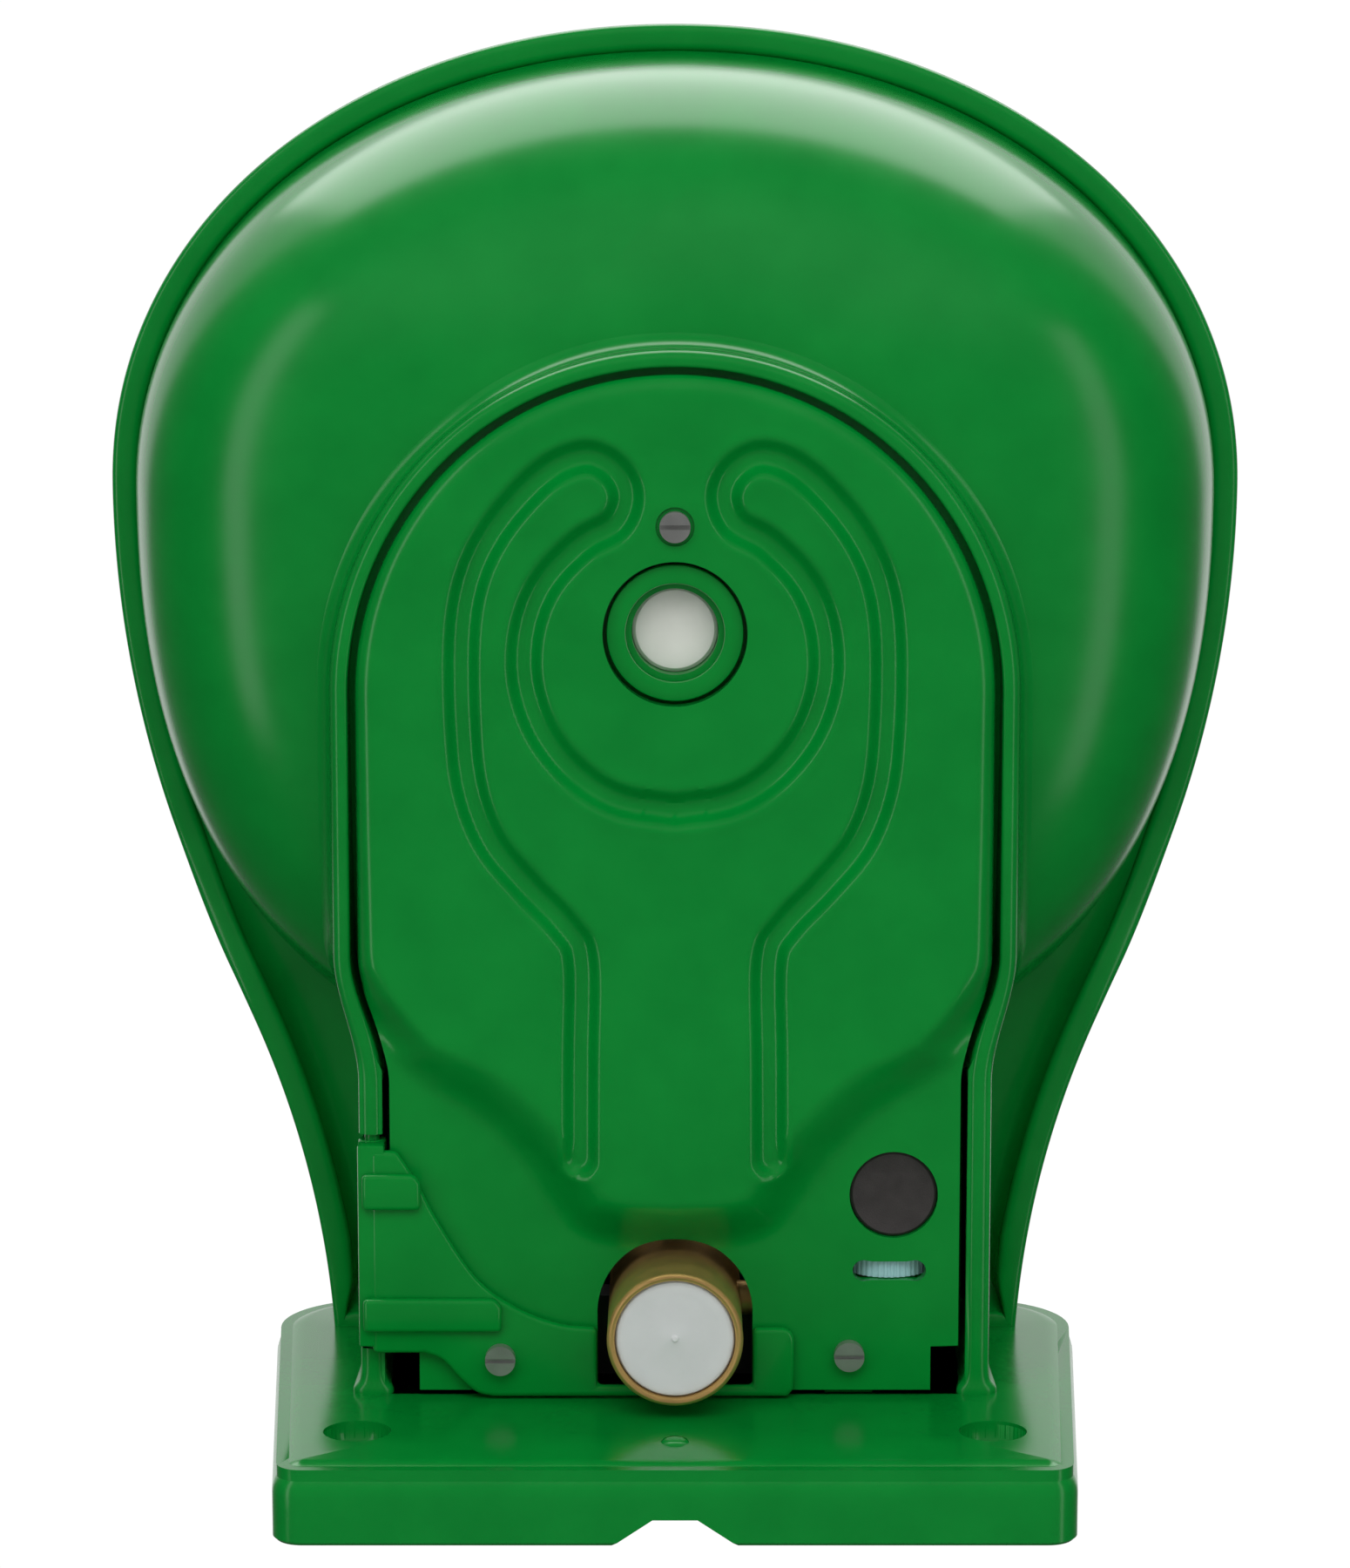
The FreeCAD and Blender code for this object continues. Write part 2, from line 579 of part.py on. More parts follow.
def swept_tube(radius, path):
    """A round bar swept along a path of straight runs and arcs."""
    start = path[0].valueAt(path[0].FirstParameter)
    first = path[0].tangentAt(path[0].FirstParameter)
    section = Part.Wire(Part.makeCircle(radius, start, first))
    return Part.Wire(path).makePipeShell([section], True, False)


# ---------------------------------------------------------------- the pieces

node(made("bowl", bowl_shape()), "bowl_body")
node(made("cover", cover_shape()), "bottom_cover")

# screws and inserts
thread_long = "insert_long + cover_thick - 1"
node(fused("screws", screw("front", "0", "-front_screw_reach", FRONT_SEAT + " - cover_thick", thread_long),
           screw("right", "screw_side", "-screw_reach", "flange_low", thread_long)), "cover_screws")
rear_low = "flange_low + cover_thick"
node(fused("inserts",
           tube("front_insert", "insert_radius", "insert_bore", FRONT_SEAT,
                FRONT_SEAT + " + insert_long", "0", "-front_screw_reach"),
           tube("right_insert", "insert_radius", "insert_bore", rear_low,
                rear_low + " + insert_long", "screw_side", "-screw_reach"),
           tube("left_insert", "insert_radius", "insert_bore + 0.35", rear_low,
                rear_low + " + insert_long", "-screw_side", "-screw_reach")), "threaded_inserts")

# inlet pipe, its protective plug and its clamp
pipe = turned("pipe", [
    ("mouth_radius", "pipe_low"), ("pipe_outer", "pipe_low"), ("pipe_outer", "pipe_high"),
    ("stud_radius", "pipe_high"), ("stud_radius", "pipe_high - stud_deep"),
    ("0", "pipe_high - stud_deep"), ("0", "pipe_high - stud_deep - 4"),
    ("pipe_bore", "pipe_high - stud_deep - 4"), ("pipe_bore", "pipe_low + mouth_deep + thread_deep"),
    ("thread_radius", "pipe_low + mouth_deep + thread_deep"),
    ("thread_radius", "pipe_low + mouth_deep"), ("mouth_radius", "pipe_low + mouth_deep")],
    y="-pipe_reach")
port = cylinder("pipe_port", "tube_radius", "pipe_outer", "0", "-tube_reach", "wheel_level", "X")
node(cut("pipe_ported", pipe, port), "inlet_pipe")
node(turned("thread_plug", [
    ("0", "pipe_low + 0.6"), ("cap_radius", "pipe_low + 0.6"), ("cap_radius", "pipe_low + mouth_deep"),
    ("cap_body", "pipe_low + mouth_deep"), ("cap_body", "pipe_low + 14"),
    ("cap_body - cap_wall", "pipe_low + 14"), ("cap_body - cap_wall", "pipe_low + 0.6 + cap_wall"),
    ("0", "pipe_low + 0.6 + cap_wall")], y="-pipe_reach"), "thread_plug")

saddle = box("saddle_block", ("-30", "-pipe_reach", "2"), ("30", "-plate_reach", "12"))
saddle_tools = [cylinder("saddle_round", "pipe_outer", "14", "0", "-pipe_reach", "1")]
saddle_tools += [
    cylinder("saddle_hole_" + side, "shank_radius", "pipe_reach", x, "-pipe_reach - 1", "7", "Y")
    for side, x in (("left", "-24"), ("right", "24"))]
node(cut("saddle", saddle, *saddle_tools), "pipe_saddle")
saddle_screws = []
for side, x in (("left", "-24"), ("right", "24")):
    shank = cylinder("saddle_shank_" + side, "shank_radius", "pipe_reach - plate_reach",
                     x, "-pipe_reach", "7", "Y")
    head = cylinder("saddle_head_" + side, "head_radius", "head_tall", x,
                    "-pipe_reach - head_tall", "7", "Y")
    saddle_screws.append(fused("saddle_screw_" + side, shank, head))
node(fused("saddle_screws_both", *saddle_screws), "saddle_screws")

# flow regulator: wheel, needle, housing and tubes
axle = {"x": "wheel_side", "z": "wheel_level", "lies": "Y"}
wheel = ring("wheel", "wheel_radius", "needle_radius", "-wheel_reach - wheel_wide / 2",
             "-wheel_reach + wheel_wide / 2", **axle)
knurl = pocket(wheel, circles(wheel, "XY_Plane", [("wheel_radius + 0.2", "0", "knurl_radius")]))
around(wheel, knurl, 44)
node(wheel, "flow_wheel")
node(turned("needle", [
    ("0", "-wheel_reach - 9"), ("needle_radius", "-wheel_reach - 9"), ("needle_radius", "-tube_reach - 1"),
    ("0.4", "-tube_reach + 2"), ("0", "-tube_reach + 2")], **axle), "flow_needle")
housing = turned("regulator", [
    ("needle_radius + running_gap", "-wheel_reach + wheel_wide / 2 + 0.3"),
    ("regulator_radius", "-wheel_reach + wheel_wide / 2 + 0.3"), ("regulator_radius", "-regulator_back"),
    ("0", "-regulator_back"), ("0", "-42"), ("needle_radius + running_gap", "-42")], **axle)
yoke_low = "wheel_level + wheel_radius + 0.6"
yoke = [box("yoke_arm", ("wheel_side - 5", "-wheel_reach - 6", "wheel_level - 4"),
            ("wheel_side + 5", "-wheel_reach - wheel_wide / 2 - 0.3", yoke_low + " + 3")),
        box("yoke_bridge", ("wheel_side - 5", "-wheel_reach - 6", yoke_low),
            ("wheel_side + 5", "-wheel_reach + 8", yoke_low + " + 3")),
        box("yoke_back", ("wheel_side - 5", "-wheel_reach + wheel_wide / 2 + 0.3", "wheel_level + 4"),
            ("wheel_side + 5", "-wheel_reach + 8", yoke_low + " + 3")),
        cylinder("regulator_port", "tube_radius + 0.8", "12", "wheel_side", "-tube_reach", "wheel_level")]
regulator_cuts = [
    cylinder("yoke_hole", "needle_radius + running_gap", "14", "wheel_side", "-wheel_reach - 7",
             "wheel_level", "Y"),
    cylinder("needle_room", "regulator_bore", "42 - regulator_back - 1.2", "wheel_side", "-42",
             "wheel_level", "Y"),
    cylinder("port_hole", "tube_radius", "13", "wheel_side", "-tube_reach", "wheel_level + 4"),
    cylinder("inner_hole", "tube_bore", "6", "wheel_side", "-tube_reach", "wheel_level"),
    cylinder("inlet_hole", "tube_radius", "6", "wheel_side - 10", "-tube_reach", "wheel_level", "X")]
node(cut("regulator_housing", fused("regulator_blank", housing, *yoke), *regulator_cuts),
     "regulator_body")
feed_start = ("12", "-tube_reach", "wheel_level", "X")
node(cut("feed", cylinder("feed_rod", "tube_radius", "wheel_side - 16", *feed_start),
         cylinder("feed_bore", "tube_bore", "wheel_side - 16", *feed_start)), "feed_tube")


def supply_path():
    """Up from the regulator, back to the valve's line, and in to the valve, with round bends."""
    side, bend, level = amount("wheel_side"), amount("tube_bend"), amount("valve_level")
    y, low = -amount("tube_reach"), amount("wheel_level") + 4
    half = bend * (1 - math.sqrt(0.5))
    up = Part.LineSegment(Vector(side, y, low), Vector(side, y, level - bend))
    turn = Part.Arc(Vector(side, y, level - bend), Vector(side - half, y, level - half),
                    Vector(side - bend, y, level))
    across = Part.LineSegment(Vector(side - bend, y, level), Vector(11.5, y, level))
    return [item.toShape() for item in (up, turn, across)]


supply = swept_tube(amount("tube_radius"), supply_path()).cut(
    swept_tube(amount("tube_bore"), supply_path()))
node(made("supply", supply), "supply_tube")

# valve: housing, seat, seal, stem, spring, guide and cap, all on one line towards the wall
line = {"z": "valve_level", "lies": "Y"}
valve_round = turned("valve", [
    ("outlet_room", "-valve_front"), ("valve_outer", "-valve_front"), ("valve_outer", "-valve_back"),
    ("valve_room", "-valve_back"), ("valve_room", "-seat_back"), ("seat_hole", "-seat_back"),
    ("seat_hole", "-seat_front"), ("outlet_room", "-seat_front")], **line)
stud = cylinder("valve_stud", "stud_radius", "valve_level - pipe_high - 11 + stud_deep", "0",
                "-pipe_reach", "pipe_high - stud_deep")
side_port = cylinder("valve_port", "tube_radius", "8", "8", "-tube_reach", "valve_level", "X")
node(cut("valve_housing", fused("valve_blank", valve_round, stud), side_port), "valve_body")
node(ring("seat", "seat_hole", "seat_bore", "-seat_front", "-seat_back + 1", **line), "valve_seat")
node(ring("seal", "seal_radius", "stem_radius", "-seat_back + 1", "-seat_back + 1 + seal_thick", **line),
     "valve_seal")
node(turned("stem", [
    ("0", "-stem_front"), ("stem_radius - 2", "-stem_front"), ("stem_radius", "-stem_front + 1.5"),
    ("stem_radius", "-seat_back + 1 + seal_thick"), ("6.5", "-seat_back + 1 + seal_thick"),
    ("6.5", "-seat_back + 3 + seal_thick"), ("4", "-seat_back + 3 + seal_thick"),
    ("4", "-seat_back + 13"), ("0", "-seat_back + 13")], **line), "valve_stem")
guide = ring("guide", "outlet_room", "stem_radius + running_gap", "-valve_front",
             "-valve_front + 4", **line)
outlet = pocket(guide, circles(guide, "XY_Plane", [("5.9", "0", "1.8")]))
around(guide, outlet, 6)
node(guide, "stem_guide")
cap_seat = ring("cap_plug", "valve_room", "6.5", "-cap_inner", "-valve_back + 0.5", **line)
hexagon = new_body("cap_hex")
hex_half = "hex_radius / 2"
corner = "hex_radius * 0.866"
hex_sketch = outline(hexagon, "XY_Plane", [
    ("hex_radius", "0"), (hex_half, corner), ("-" + hex_half, corner), ("-hex_radius", "0"),
    ("-" + hex_half, "-" + corner), (hex_half, "-" + corner)])
pad(hexagon, hex_sketch, "5")
place(hexagon, "0", "-valve_back + 3", "valve_level", "Y")
node(fused("cap", cap_seat, hexagon), "valve_cap")
node(ring("cap_ring", "valve_outer", "valve_room", "-valve_back", "-valve_back + 0.5", **line), "cap_seal")


def spring_shape():
    """A round wire wound between the stem's collar and the cap."""
    start = 3.0 + amount("seal_thick") - amount("seat_back") + amount("spring_wire") + 0.05
    end = -amount("cap_inner") - amount("spring_wire") - 0.05
    radius = amount("spring_radius")
    helix = Part.makeHelix(amount("spring_pitch"), end - start, radius)
    section = Part.Wire(Part.makeCircle(amount("spring_wire"), Vector(radius, 0, 0), Vector(0, 1, 0)))
    coil = Part.Wire(helix).makePipeShell([section], True, True)
    coil.rotate(Vector(), Vector(1, 0, 0), -90)
    coil.translate(Vector(0, start, amount("valve_level")))
    return coil


node(made("spring", spring_shape()), "valve_spring")

# tongue that the animal presses, its pin and clips
face_front = "-stem_front - 0.3 - sheet"
face_back = "-stem_front - 0.3"
tongue_back = box("tongue_plate", ("-ear_half", face_front, "valve_level - 4"),
                  ("ear_half", face_back, "valve_level + 12"))
ears = [box("ear_" + side, (x, face_front + " - 4", "valve_level - 4"),
            (x + " + sheet", face_back + " + 3", "pin_level + 3.5"))
        for side, x in (("left", "-ear_half"), ("right", "ear_half - sheet"))]
pin_hole = cylinder("tongue_hole", "pin_radius + running_gap", "2 * ear_half + 2", "-ear_half - 1",
                    "-pin_reach", "pin_level", "X")


def tongue_sheet():
    """The sloping sheet that reaches into the bowl, with a rounded tip."""
    half, tip = amount("tongue_half"), amount("tongue_reach")
    root_y, root_z = amount(face_back), amount("valve_level") - 4
    drop = amount("tongue_drop")
    narrow = amount("ear_half")
    outline_points = [Vector(-narrow, root_y, 0), Vector(-half, root_y - 30, 0),
                      Vector(-half, half - tip, 0)]
    right = [Vector(-point.x, point.y, 0) for point in reversed(outline_points)]
    end = Part.Arc(outline_points[-1], Vector(0, -tip, 0), right[0]).toShape()
    sides = Part.makePolygon(outline_points).Edges + Part.makePolygon(right).Edges
    back = Part.LineSegment(right[-1], outline_points[0]).toShape()
    face = Part.Face(Part.Wire(Part.sortEdges([*sides, end, back])[0]))
    plate = face.extrude(Vector(0, 0, amount("sheet")))
    tilt = math.degrees(math.atan2(root_z - drop, tip + root_y))
    plate.rotate(Vector(0, root_y, 0), Vector(1, 0, 0), tilt)
    plate.translate(Vector(0, 0, root_z))
    return plate


tongue = fused("tongue_blank", tongue_back, *ears, made("tongue_plate_sheet", tongue_sheet()))
node(cut("tongue", tongue, pin_hole), "tongue_lever")
node(cylinder("pin", "pin_radius", "2 * pin_half", "-pin_half", "-pin_reach", "pin_level", "X"),
     "lever_pin")
clip_rings = []
for side, x in (("left", "-lug_outer - 1.2"), ("right", "lug_outer + 0.2")):
    at = ("-pin_reach", "pin_level", "X")
    clip_rings.append(cut("clip_" + side, cylinder("clip_disc_" + side, "clip_radius", "1", x, *at),
                          cylinder("clip_bore_" + side, "pin_radius", "1", x, *at)))
node(fused("clips", *clip_rings), "lever_clips")

# drain plug with its seal
drain = {"y": "-drain_reach"}
groove_low = "dish_floor - 4"
node(turned("drain_plug", [
    ("0", "plug_low"), ("plug_radius - plug_edge", "plug_low"),
    ("plug_radius", "plug_low + plug_edge"), ("plug_radius", groove_low),
    ("plug_radius - seal_wire", groove_low), ("plug_radius - seal_wire", groove_low + " + 2"),
    ("plug_radius", groove_low + " + 2"), ("plug_radius", "dish_floor"), ("plug_flange", "dish_floor"),
    ("plug_flange", "dish_floor + plug_flange_thick"), ("4", "dish_floor + plug_flange_thick"),
    ("4", "dish_floor + plug_flange_thick + 6"), ("0", "dish_floor + plug_flange_thick + 6")],
    **drain), "drain_plug")
node(ring("drain_ring", "plug_radius", "plug_radius - seal_wire", groove_low,
          groove_low + " + 2", **drain), "drain_seal")

# rubber blanking plug in the cover
inner_face = "flange_low + cover_thick"
node(turned("blanking", [
    ("0", "flange_low + 1.2"), ("3", "flange_low + 1.2"), ("blank_radius - 3", "flange_low + 1.5"),
    ("blank_radius", "flange_low + 2.2"),
    ("blank_radius", inner_face), ("blank_flange", inner_face), ("blank_flange", inner_face + " + 2"),
    ("0", inner_face + " + 2")], x="blank_side", y="-blank_reach"), "blanking_plug")


# flap under the pipe, with its hinge knuckle and captive screw

def flap_shape():
    """A flat plate with an S-shaped front edge, a cut round the pipe, two ribs and a knuckle."""
    side, level, thick = amount("hinge_side"), amount("flange_low"), amount("flap_thick")
    back, front = -amount("flap_back"), -amount("flap_front")
    low = level - thick - 0.2
    edge = Part.BSplineCurve()
    curve = [(-64, front + 1), (-55, -61), (-46, -47), (-37, -40), (-27, -36), (-18, -35)]
    edge.interpolate([Vector(x, y, low) for x, y in curve])
    notch_y = -21.2
    path = [(-18, -35), (-18, notch_y), (18, notch_y), (18, -35), (27.7, -35), (27.7, back),
            (-42, back), (-57, -29), (-side, -29), (-side, front + 1), (-64, front + 1)]
    lines = Part.makePolygon([Vector(x, y, low) for x, y in path]).Edges
    plate = Part.Face(Part.Wire(Part.sortEdges([edge.toShape(), *lines])[0])).extrude(Vector(0, 0, thick))
    for start, end, tip in ((-72, -63.5, -59), (-42.5, -34.5, -40)):
        plate = plate.fuse(block((-side, start, low - 1.5), (tip, end, low + 1)))
    knuckle_front, knuckle_back = amount("knuckle_front"), amount("knuckle_back")
    axis_level = amount("hinge_level")
    long = knuckle_front - knuckle_back
    plate = plate.fuse(rod(amount("knuckle_radius"), (-side, -knuckle_front, axis_level), long, (0, 1, 0)))
    plate = plate.fuse(block((-side - amount("knuckle_radius"), -knuckle_front, low),
                             (-side + amount("knuckle_radius"), -knuckle_back, axis_level)))
    plate = plate.fuse(rod(amount("peg_radius"), (-side, -knuckle_front - 4, axis_level),
                           long + 7, (0, 1, 0)))
    screw_at = (-amount("screw_side"), -amount("screw_reach"), low - 5)
    hole = rod(amount("shank_radius") + 0.01, screw_at, 20, (0, 0, 1))
    return plate.cut(hole).removeSplitter()


node(made("flap", flap_shape()), "pipe_flap")
node(screw("flap", "-screw_side", "-screw_reach", "flange_low - flap_thick - 0.2", "flap_thick + 5.7"),
     "flap_screw")

# ---------------------------------------------------------------- checks and export

doc.recompute()
for item in doc.Objects:
    if "Invalid" in item.State or "Error" in item.State:
        raise RuntimeError(f"{item.Name} failed: {item.State}")
for item in nodes:
    if item.Shape.isNull() or not item.Shape.isValid():
        raise RuntimeError(f"{item.Label} has no valid shape")
os.makedirs("parts", exist_ok=True)
for item in nodes:
    item.Shape.exportStep(f"parts/{item.Label}.step")
    solids = len(item.Shape.Solids)
    print(f"{item.Label}: {item.Shape.Volume / 1000:.1f} cm3 in {solids} solids")
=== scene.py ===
import math

import bmesh
import bpy
import numpy as np
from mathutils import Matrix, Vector


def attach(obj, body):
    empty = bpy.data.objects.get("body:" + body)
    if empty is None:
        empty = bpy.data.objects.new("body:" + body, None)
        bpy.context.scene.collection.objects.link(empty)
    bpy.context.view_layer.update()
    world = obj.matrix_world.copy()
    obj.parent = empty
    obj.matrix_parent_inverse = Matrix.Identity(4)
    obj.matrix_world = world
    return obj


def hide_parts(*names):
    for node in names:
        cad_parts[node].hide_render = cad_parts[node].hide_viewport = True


bl_info = {
    "name": "Wall-mounted drinking bowl",
    "version": (1, 0, 0),
    "blender": (4, 5, 0),
    "location": "3D View > Sidebar > Drinking bowl",
    "description": "Builds the looks of a moulded drinking bowl round its packed frame",
    "category": "Object",
}

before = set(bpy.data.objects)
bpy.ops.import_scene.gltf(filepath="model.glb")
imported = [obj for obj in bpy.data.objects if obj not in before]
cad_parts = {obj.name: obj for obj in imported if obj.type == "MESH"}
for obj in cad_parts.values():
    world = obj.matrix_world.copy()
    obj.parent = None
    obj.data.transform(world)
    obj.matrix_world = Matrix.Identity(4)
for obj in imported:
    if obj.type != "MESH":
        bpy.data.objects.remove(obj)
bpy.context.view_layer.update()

# Lengths in the formulas are millimetres: X across, -Y out from the wall, +Z up.
MM = 0.001
WIDEST = -224.0                 # Y of the bowl's widest line, the centre of its polar formulas
DRAIN = (0.0, -196.5)           # X and Y of the drain
ARCH = -182.0                   # Y of the centre of the skirt's and the cover's arch
DECK = 70.0                     # Z of the rim
DISH = (122.5, 96.5, 124.0)     # the dish's half width, and its reach to the front and the rear
DISH_FLOOR = 7.0                # Z of the dish's floor
DOME = (128.8, 102.7, 145.0)    # the same measures of the bowl's outside as of the dish
DOME_TOP, DOME_DEEP = 64.0, 74.0
DRAIN_BORE = 9.85
PLATE_OUT = 18.0                # how far the wall plate's face stands out from the wall
PLATE_HALF = 70.0               # half of the plate's height
FLANGE = -16.0                  # Z of the cover's flange, and of its edge further out
COVER_EDGE = -13.2
COVER_TOP = -12.4
COVER_HALF = 72.8               # radius of the cover's arch and half its width
SCREW = (40.4, -28.0)           # X and Y of the right cover screw; the flap's mirrors it
PIPE = (0.0, -37.0, 0.0)        # the inlet pipe's axis
HINGE = (-70.0, 0.0, -12.0)     # the flap's hinge line, along Y


# ---------------------------------------------------------------- sizes and colours

def linear(hexcode):
    """An sRGB hex colour as linear RGBA."""
    parts = [int(hexcode[i:i + 2], 16) / 255 for i in (1, 3, 5)]
    return tuple(c / 12.92 if c <= 0.04045 else ((c + 0.055) / 1.055) ** 2.4 for c in parts) + (1.0,)


def length(name, text, default):
    return bpy.props.FloatProperty(name=name, description=text, default=default * MM, min=0.0,
                                   unit="LENGTH", precision=5)


def colour(name, text, hexcode):
    return bpy.props.FloatVectorProperty(name=name, description=text, default=linear(hexcode),
                                         size=4, min=0.0, max=1.0, subtype="COLOR")


class DrinkingBowlSizes(bpy.types.PropertyGroup):
    """Sizes that only the looks have: roundings, beads and pressed channels."""
    rim_bead: length("Rim bead", "Half the width of the flat band along the rim", 3.2)
    rim_band: length("Rim band height", "How far the rim's band stands down", 2.2)
    rim_fillet: length("Rim fillet", "Hollow between the bead and the bowl's wall", 2.2)
    skirt_rounding: length("Skirt rounding", "Rounding of the skirt's outer edge", 2.6)
    skirt_foot: length("Skirt foot", "Reach of the hollow where the skirt leaves the bowl", 5.0)
    plate_rounding: length("Plate rounding", "Rounding of the wall plate's front edge", 7.0)
    plate_corner: length("Plate corner", "Rounding of the wall plate's upper corners", 24.0)
    cover_rounding: length("Cover rounding", "Width of the cover's rounded edge", 5.0)
    channel_depth: length("Channel depth", "Depth of the channel pressed in the cover", 3.1)
    channel_half: length("Channel half width", "From the channel's middle to its rounded lip", 4.6)
    flap_rounding: length("Flap rounding", "Rounding of the flap's edges", 1.2)


class DrinkingBowlColours(bpy.types.PropertyGroup):
    """Base colours of the finishes."""
    green: colour("Green", "Green polypropylene", "#00862F")
    brass: colour("Brass", "Turned brass", "#EBC078")
    steel: colour("Steel", "Stainless steel", "#C9CBC8")
    cap: colour("Cap", "Clear polythene cap", "#DCDFE0")
    white: colour("White", "White polypropylene", "#E6E7E1")
    black: colour("Black", "Black polyamide", "#232425")
    rubber: colour("Rubber", "Black rubber", "#3A3636")
    wheel: colour("Wheel", "Light blue acetal", "#9DC9CC")
    floor: colour("Floor", "Pale studio floor", "#E9E9E7")


# ---------------------------------------------------------------- meshes from arrays

def mesh_piece(name, points, faces, body, replaced=(), slot="green_plastic"):
    """Makes a closed mesh from points in millimetres, merges its seams and poles, and turns its
    faces outwards."""
    data = bpy.data.meshes.new(name)
    data.from_pydata((np.asarray(points) * MM).tolist(), [], faces)
    piece = bpy.data.objects.new(name, data)
    bpy.context.scene.collection.objects.link(piece)
    tidy_mesh(piece)
    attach(piece, body)
    if replaced:
        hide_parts(*replaced)
    return piece


def tidy_mesh(piece):
    """Merges doubled points, drops faces without area and makes all faces point outwards."""
    work = bmesh.new()
    work.from_mesh(piece.data)
    bmesh.ops.remove_doubles(work, verts=work.verts, dist=2e-6)
    bmesh.ops.dissolve_degenerate(work, edges=work.edges, dist=1e-6)
    bmesh.ops.recalc_face_normals(work, faces=work.faces)
    work.to_mesh(piece.data)
    work.free()


def shade(piece, degrees=34):
    """Smooth shading with creases kept where faces meet at more than the angle."""
    piece.data.polygons.foreach_set("use_smooth", np.ones(len(piece.data.polygons), bool))
    piece.data.set_sharp_from_angle(angle=math.radians(degrees))
    piece.data.update()


def grid_faces(rows, columns, around=False, along=False):
    """Quads of a grid of rows x columns points. around closes the columns, along the rows."""
    i = np.arange(rows if along else rows - 1)[:, None]
    j = np.arange(columns if around else columns - 1)[None, :]
    k, m = (i + 1) % rows, (j + 1) % columns
    quads = np.stack([i * columns + j, i * columns + m, k * columns + m, k * columns + j], -1)
    return quads.reshape(-1, 4).tolist()


def surface(name, grid, body, around=False, along=False, **more):
    """A piece from a grid of points, rows x columns x 3."""
    rows, columns = grid.shape[:2]
    return mesh_piece(name, grid.reshape(-1, 3), grid_faces(rows, columns, around, along),
                      body, **more)


def turned(name, profile, centre, body, lies="Z", steps=96, **more):
    """A surface of revolution: a profile of (radius, height) carried round an axis. It starts
    and ends on the axis, or meets itself, so that it is closed."""
    profile = np.array(profile, float)
    angle = np.linspace(0, 2 * math.pi, steps, endpoint=False)[None, :]
    radius, height = profile[:, :1], profile[:, 1:] + 0 * angle
    a, b = radius * np.cos(angle), radius * np.sin(angle)
    axes = {"Z": (a, b, height), "Y": (a, height, -b)}[lies]
    grid = np.stack(axes, -1) + np.array(centre)
    closed = bool(profile[0, 0] > 0)
    return surface(name, grid, body, around=True, along=closed, **more)


def block(low, high):
    """Points and faces of a closed box."""
    (x0, y0, z0), (x1, y1, z1) = low, high
    points = [(x, y, z) for z in (z0, z1) for y in (y0, y1) for x in (x0, x1)]
    faces = [(0, 2, 3, 1), (4, 5, 7, 6), (0, 1, 5, 4), (2, 6, 7, 3), (0, 4, 6, 2), (1, 3, 7, 5)]
    return points, faces


def prism(outline, low, high, lies="Z"):
    """Points and faces of a closed bar: an outline in X and Y carried up Z, or one in X and Z
    carried along Y."""
    count = len(outline)
    points = [(a, b, level) if lies == "Z" else (a, level, b)
              for level in (low, high) for a, b in outline]
    sides = [(i, (i + 1) % count, count + (i + 1) % count, count + i) for i in range(count)]
    return points, sides + [tuple(reversed(range(count))), tuple(range(count, 2 * count))]


def rod(a, b, low, high, radius, lies="Z", steps=64):
    """Points and faces of a closed round bar along Z, or along Y."""
    turn = np.linspace(0, 2 * math.pi, steps, endpoint=False)
    circle = np.stack([a + radius * np.cos(turn), b + radius * np.sin(turn)], -1)
    return prism(circle, low, high, lies)


def joined(solids):
    """Points and faces of several closed shapes as one."""
    points, faces = [], []
    for some_points, some_faces in solids:
        start = len(points)
        points += [tuple(point) for point in some_points]
        faces += [tuple(start + i for i in face) for face in some_faces]
    return points, faces


def cut(piece, cutters, operation="DIFFERENCE"):
    """Cuts closed shapes out of a piece and keeps the result as the piece's own mesh."""
    points, faces = joined(cutters)
    data = bpy.data.meshes.new("cutter")
    data.from_pydata((np.array(points) * MM).tolist(), [], faces)
    tool = bpy.data.objects.new("cutter", data)
    bpy.context.scene.collection.objects.link(tool)
    tidy_mesh(tool)
    step = piece.modifiers.new("cut", "BOOLEAN")
    step.operation, step.solver, step.object = operation, "EXACT", tool
    keep_modified(piece)
    bpy.data.objects.remove(tool)


def keep_modified(piece):
    """Keeps what the piece's modifiers make as its own mesh, and removes them."""
    bpy.context.view_layer.update()
    graph = bpy.context.evaluated_depsgraph_get()
    done = bpy.data.meshes.new_from_object(piece.evaluated_get(graph))
    if not len(done.polygons):
        raise RuntimeError(f"{piece.name} came out empty")
    piece.modifiers.clear()
    piece.data = done


def bevelled(piece, width, segments, degrees=30):
    """Rounds the piece's edges that are sharper than the angle, for good."""
    bevel = piece.modifiers.new("edges", "BEVEL")
    bevel.width, bevel.segments, bevel.angle_limit = width, segments, math.radians(degrees)
    keep_modified(piece)


def smooth_step(value, low, high):
    """0 below low, 1 above high, and an S-curve between."""
    t = np.clip((value - low) / (high - low), 0, 1)
    return t * t * (3 - 2 * t)


# ---------------------------------------------------------------- the bowl's formulas

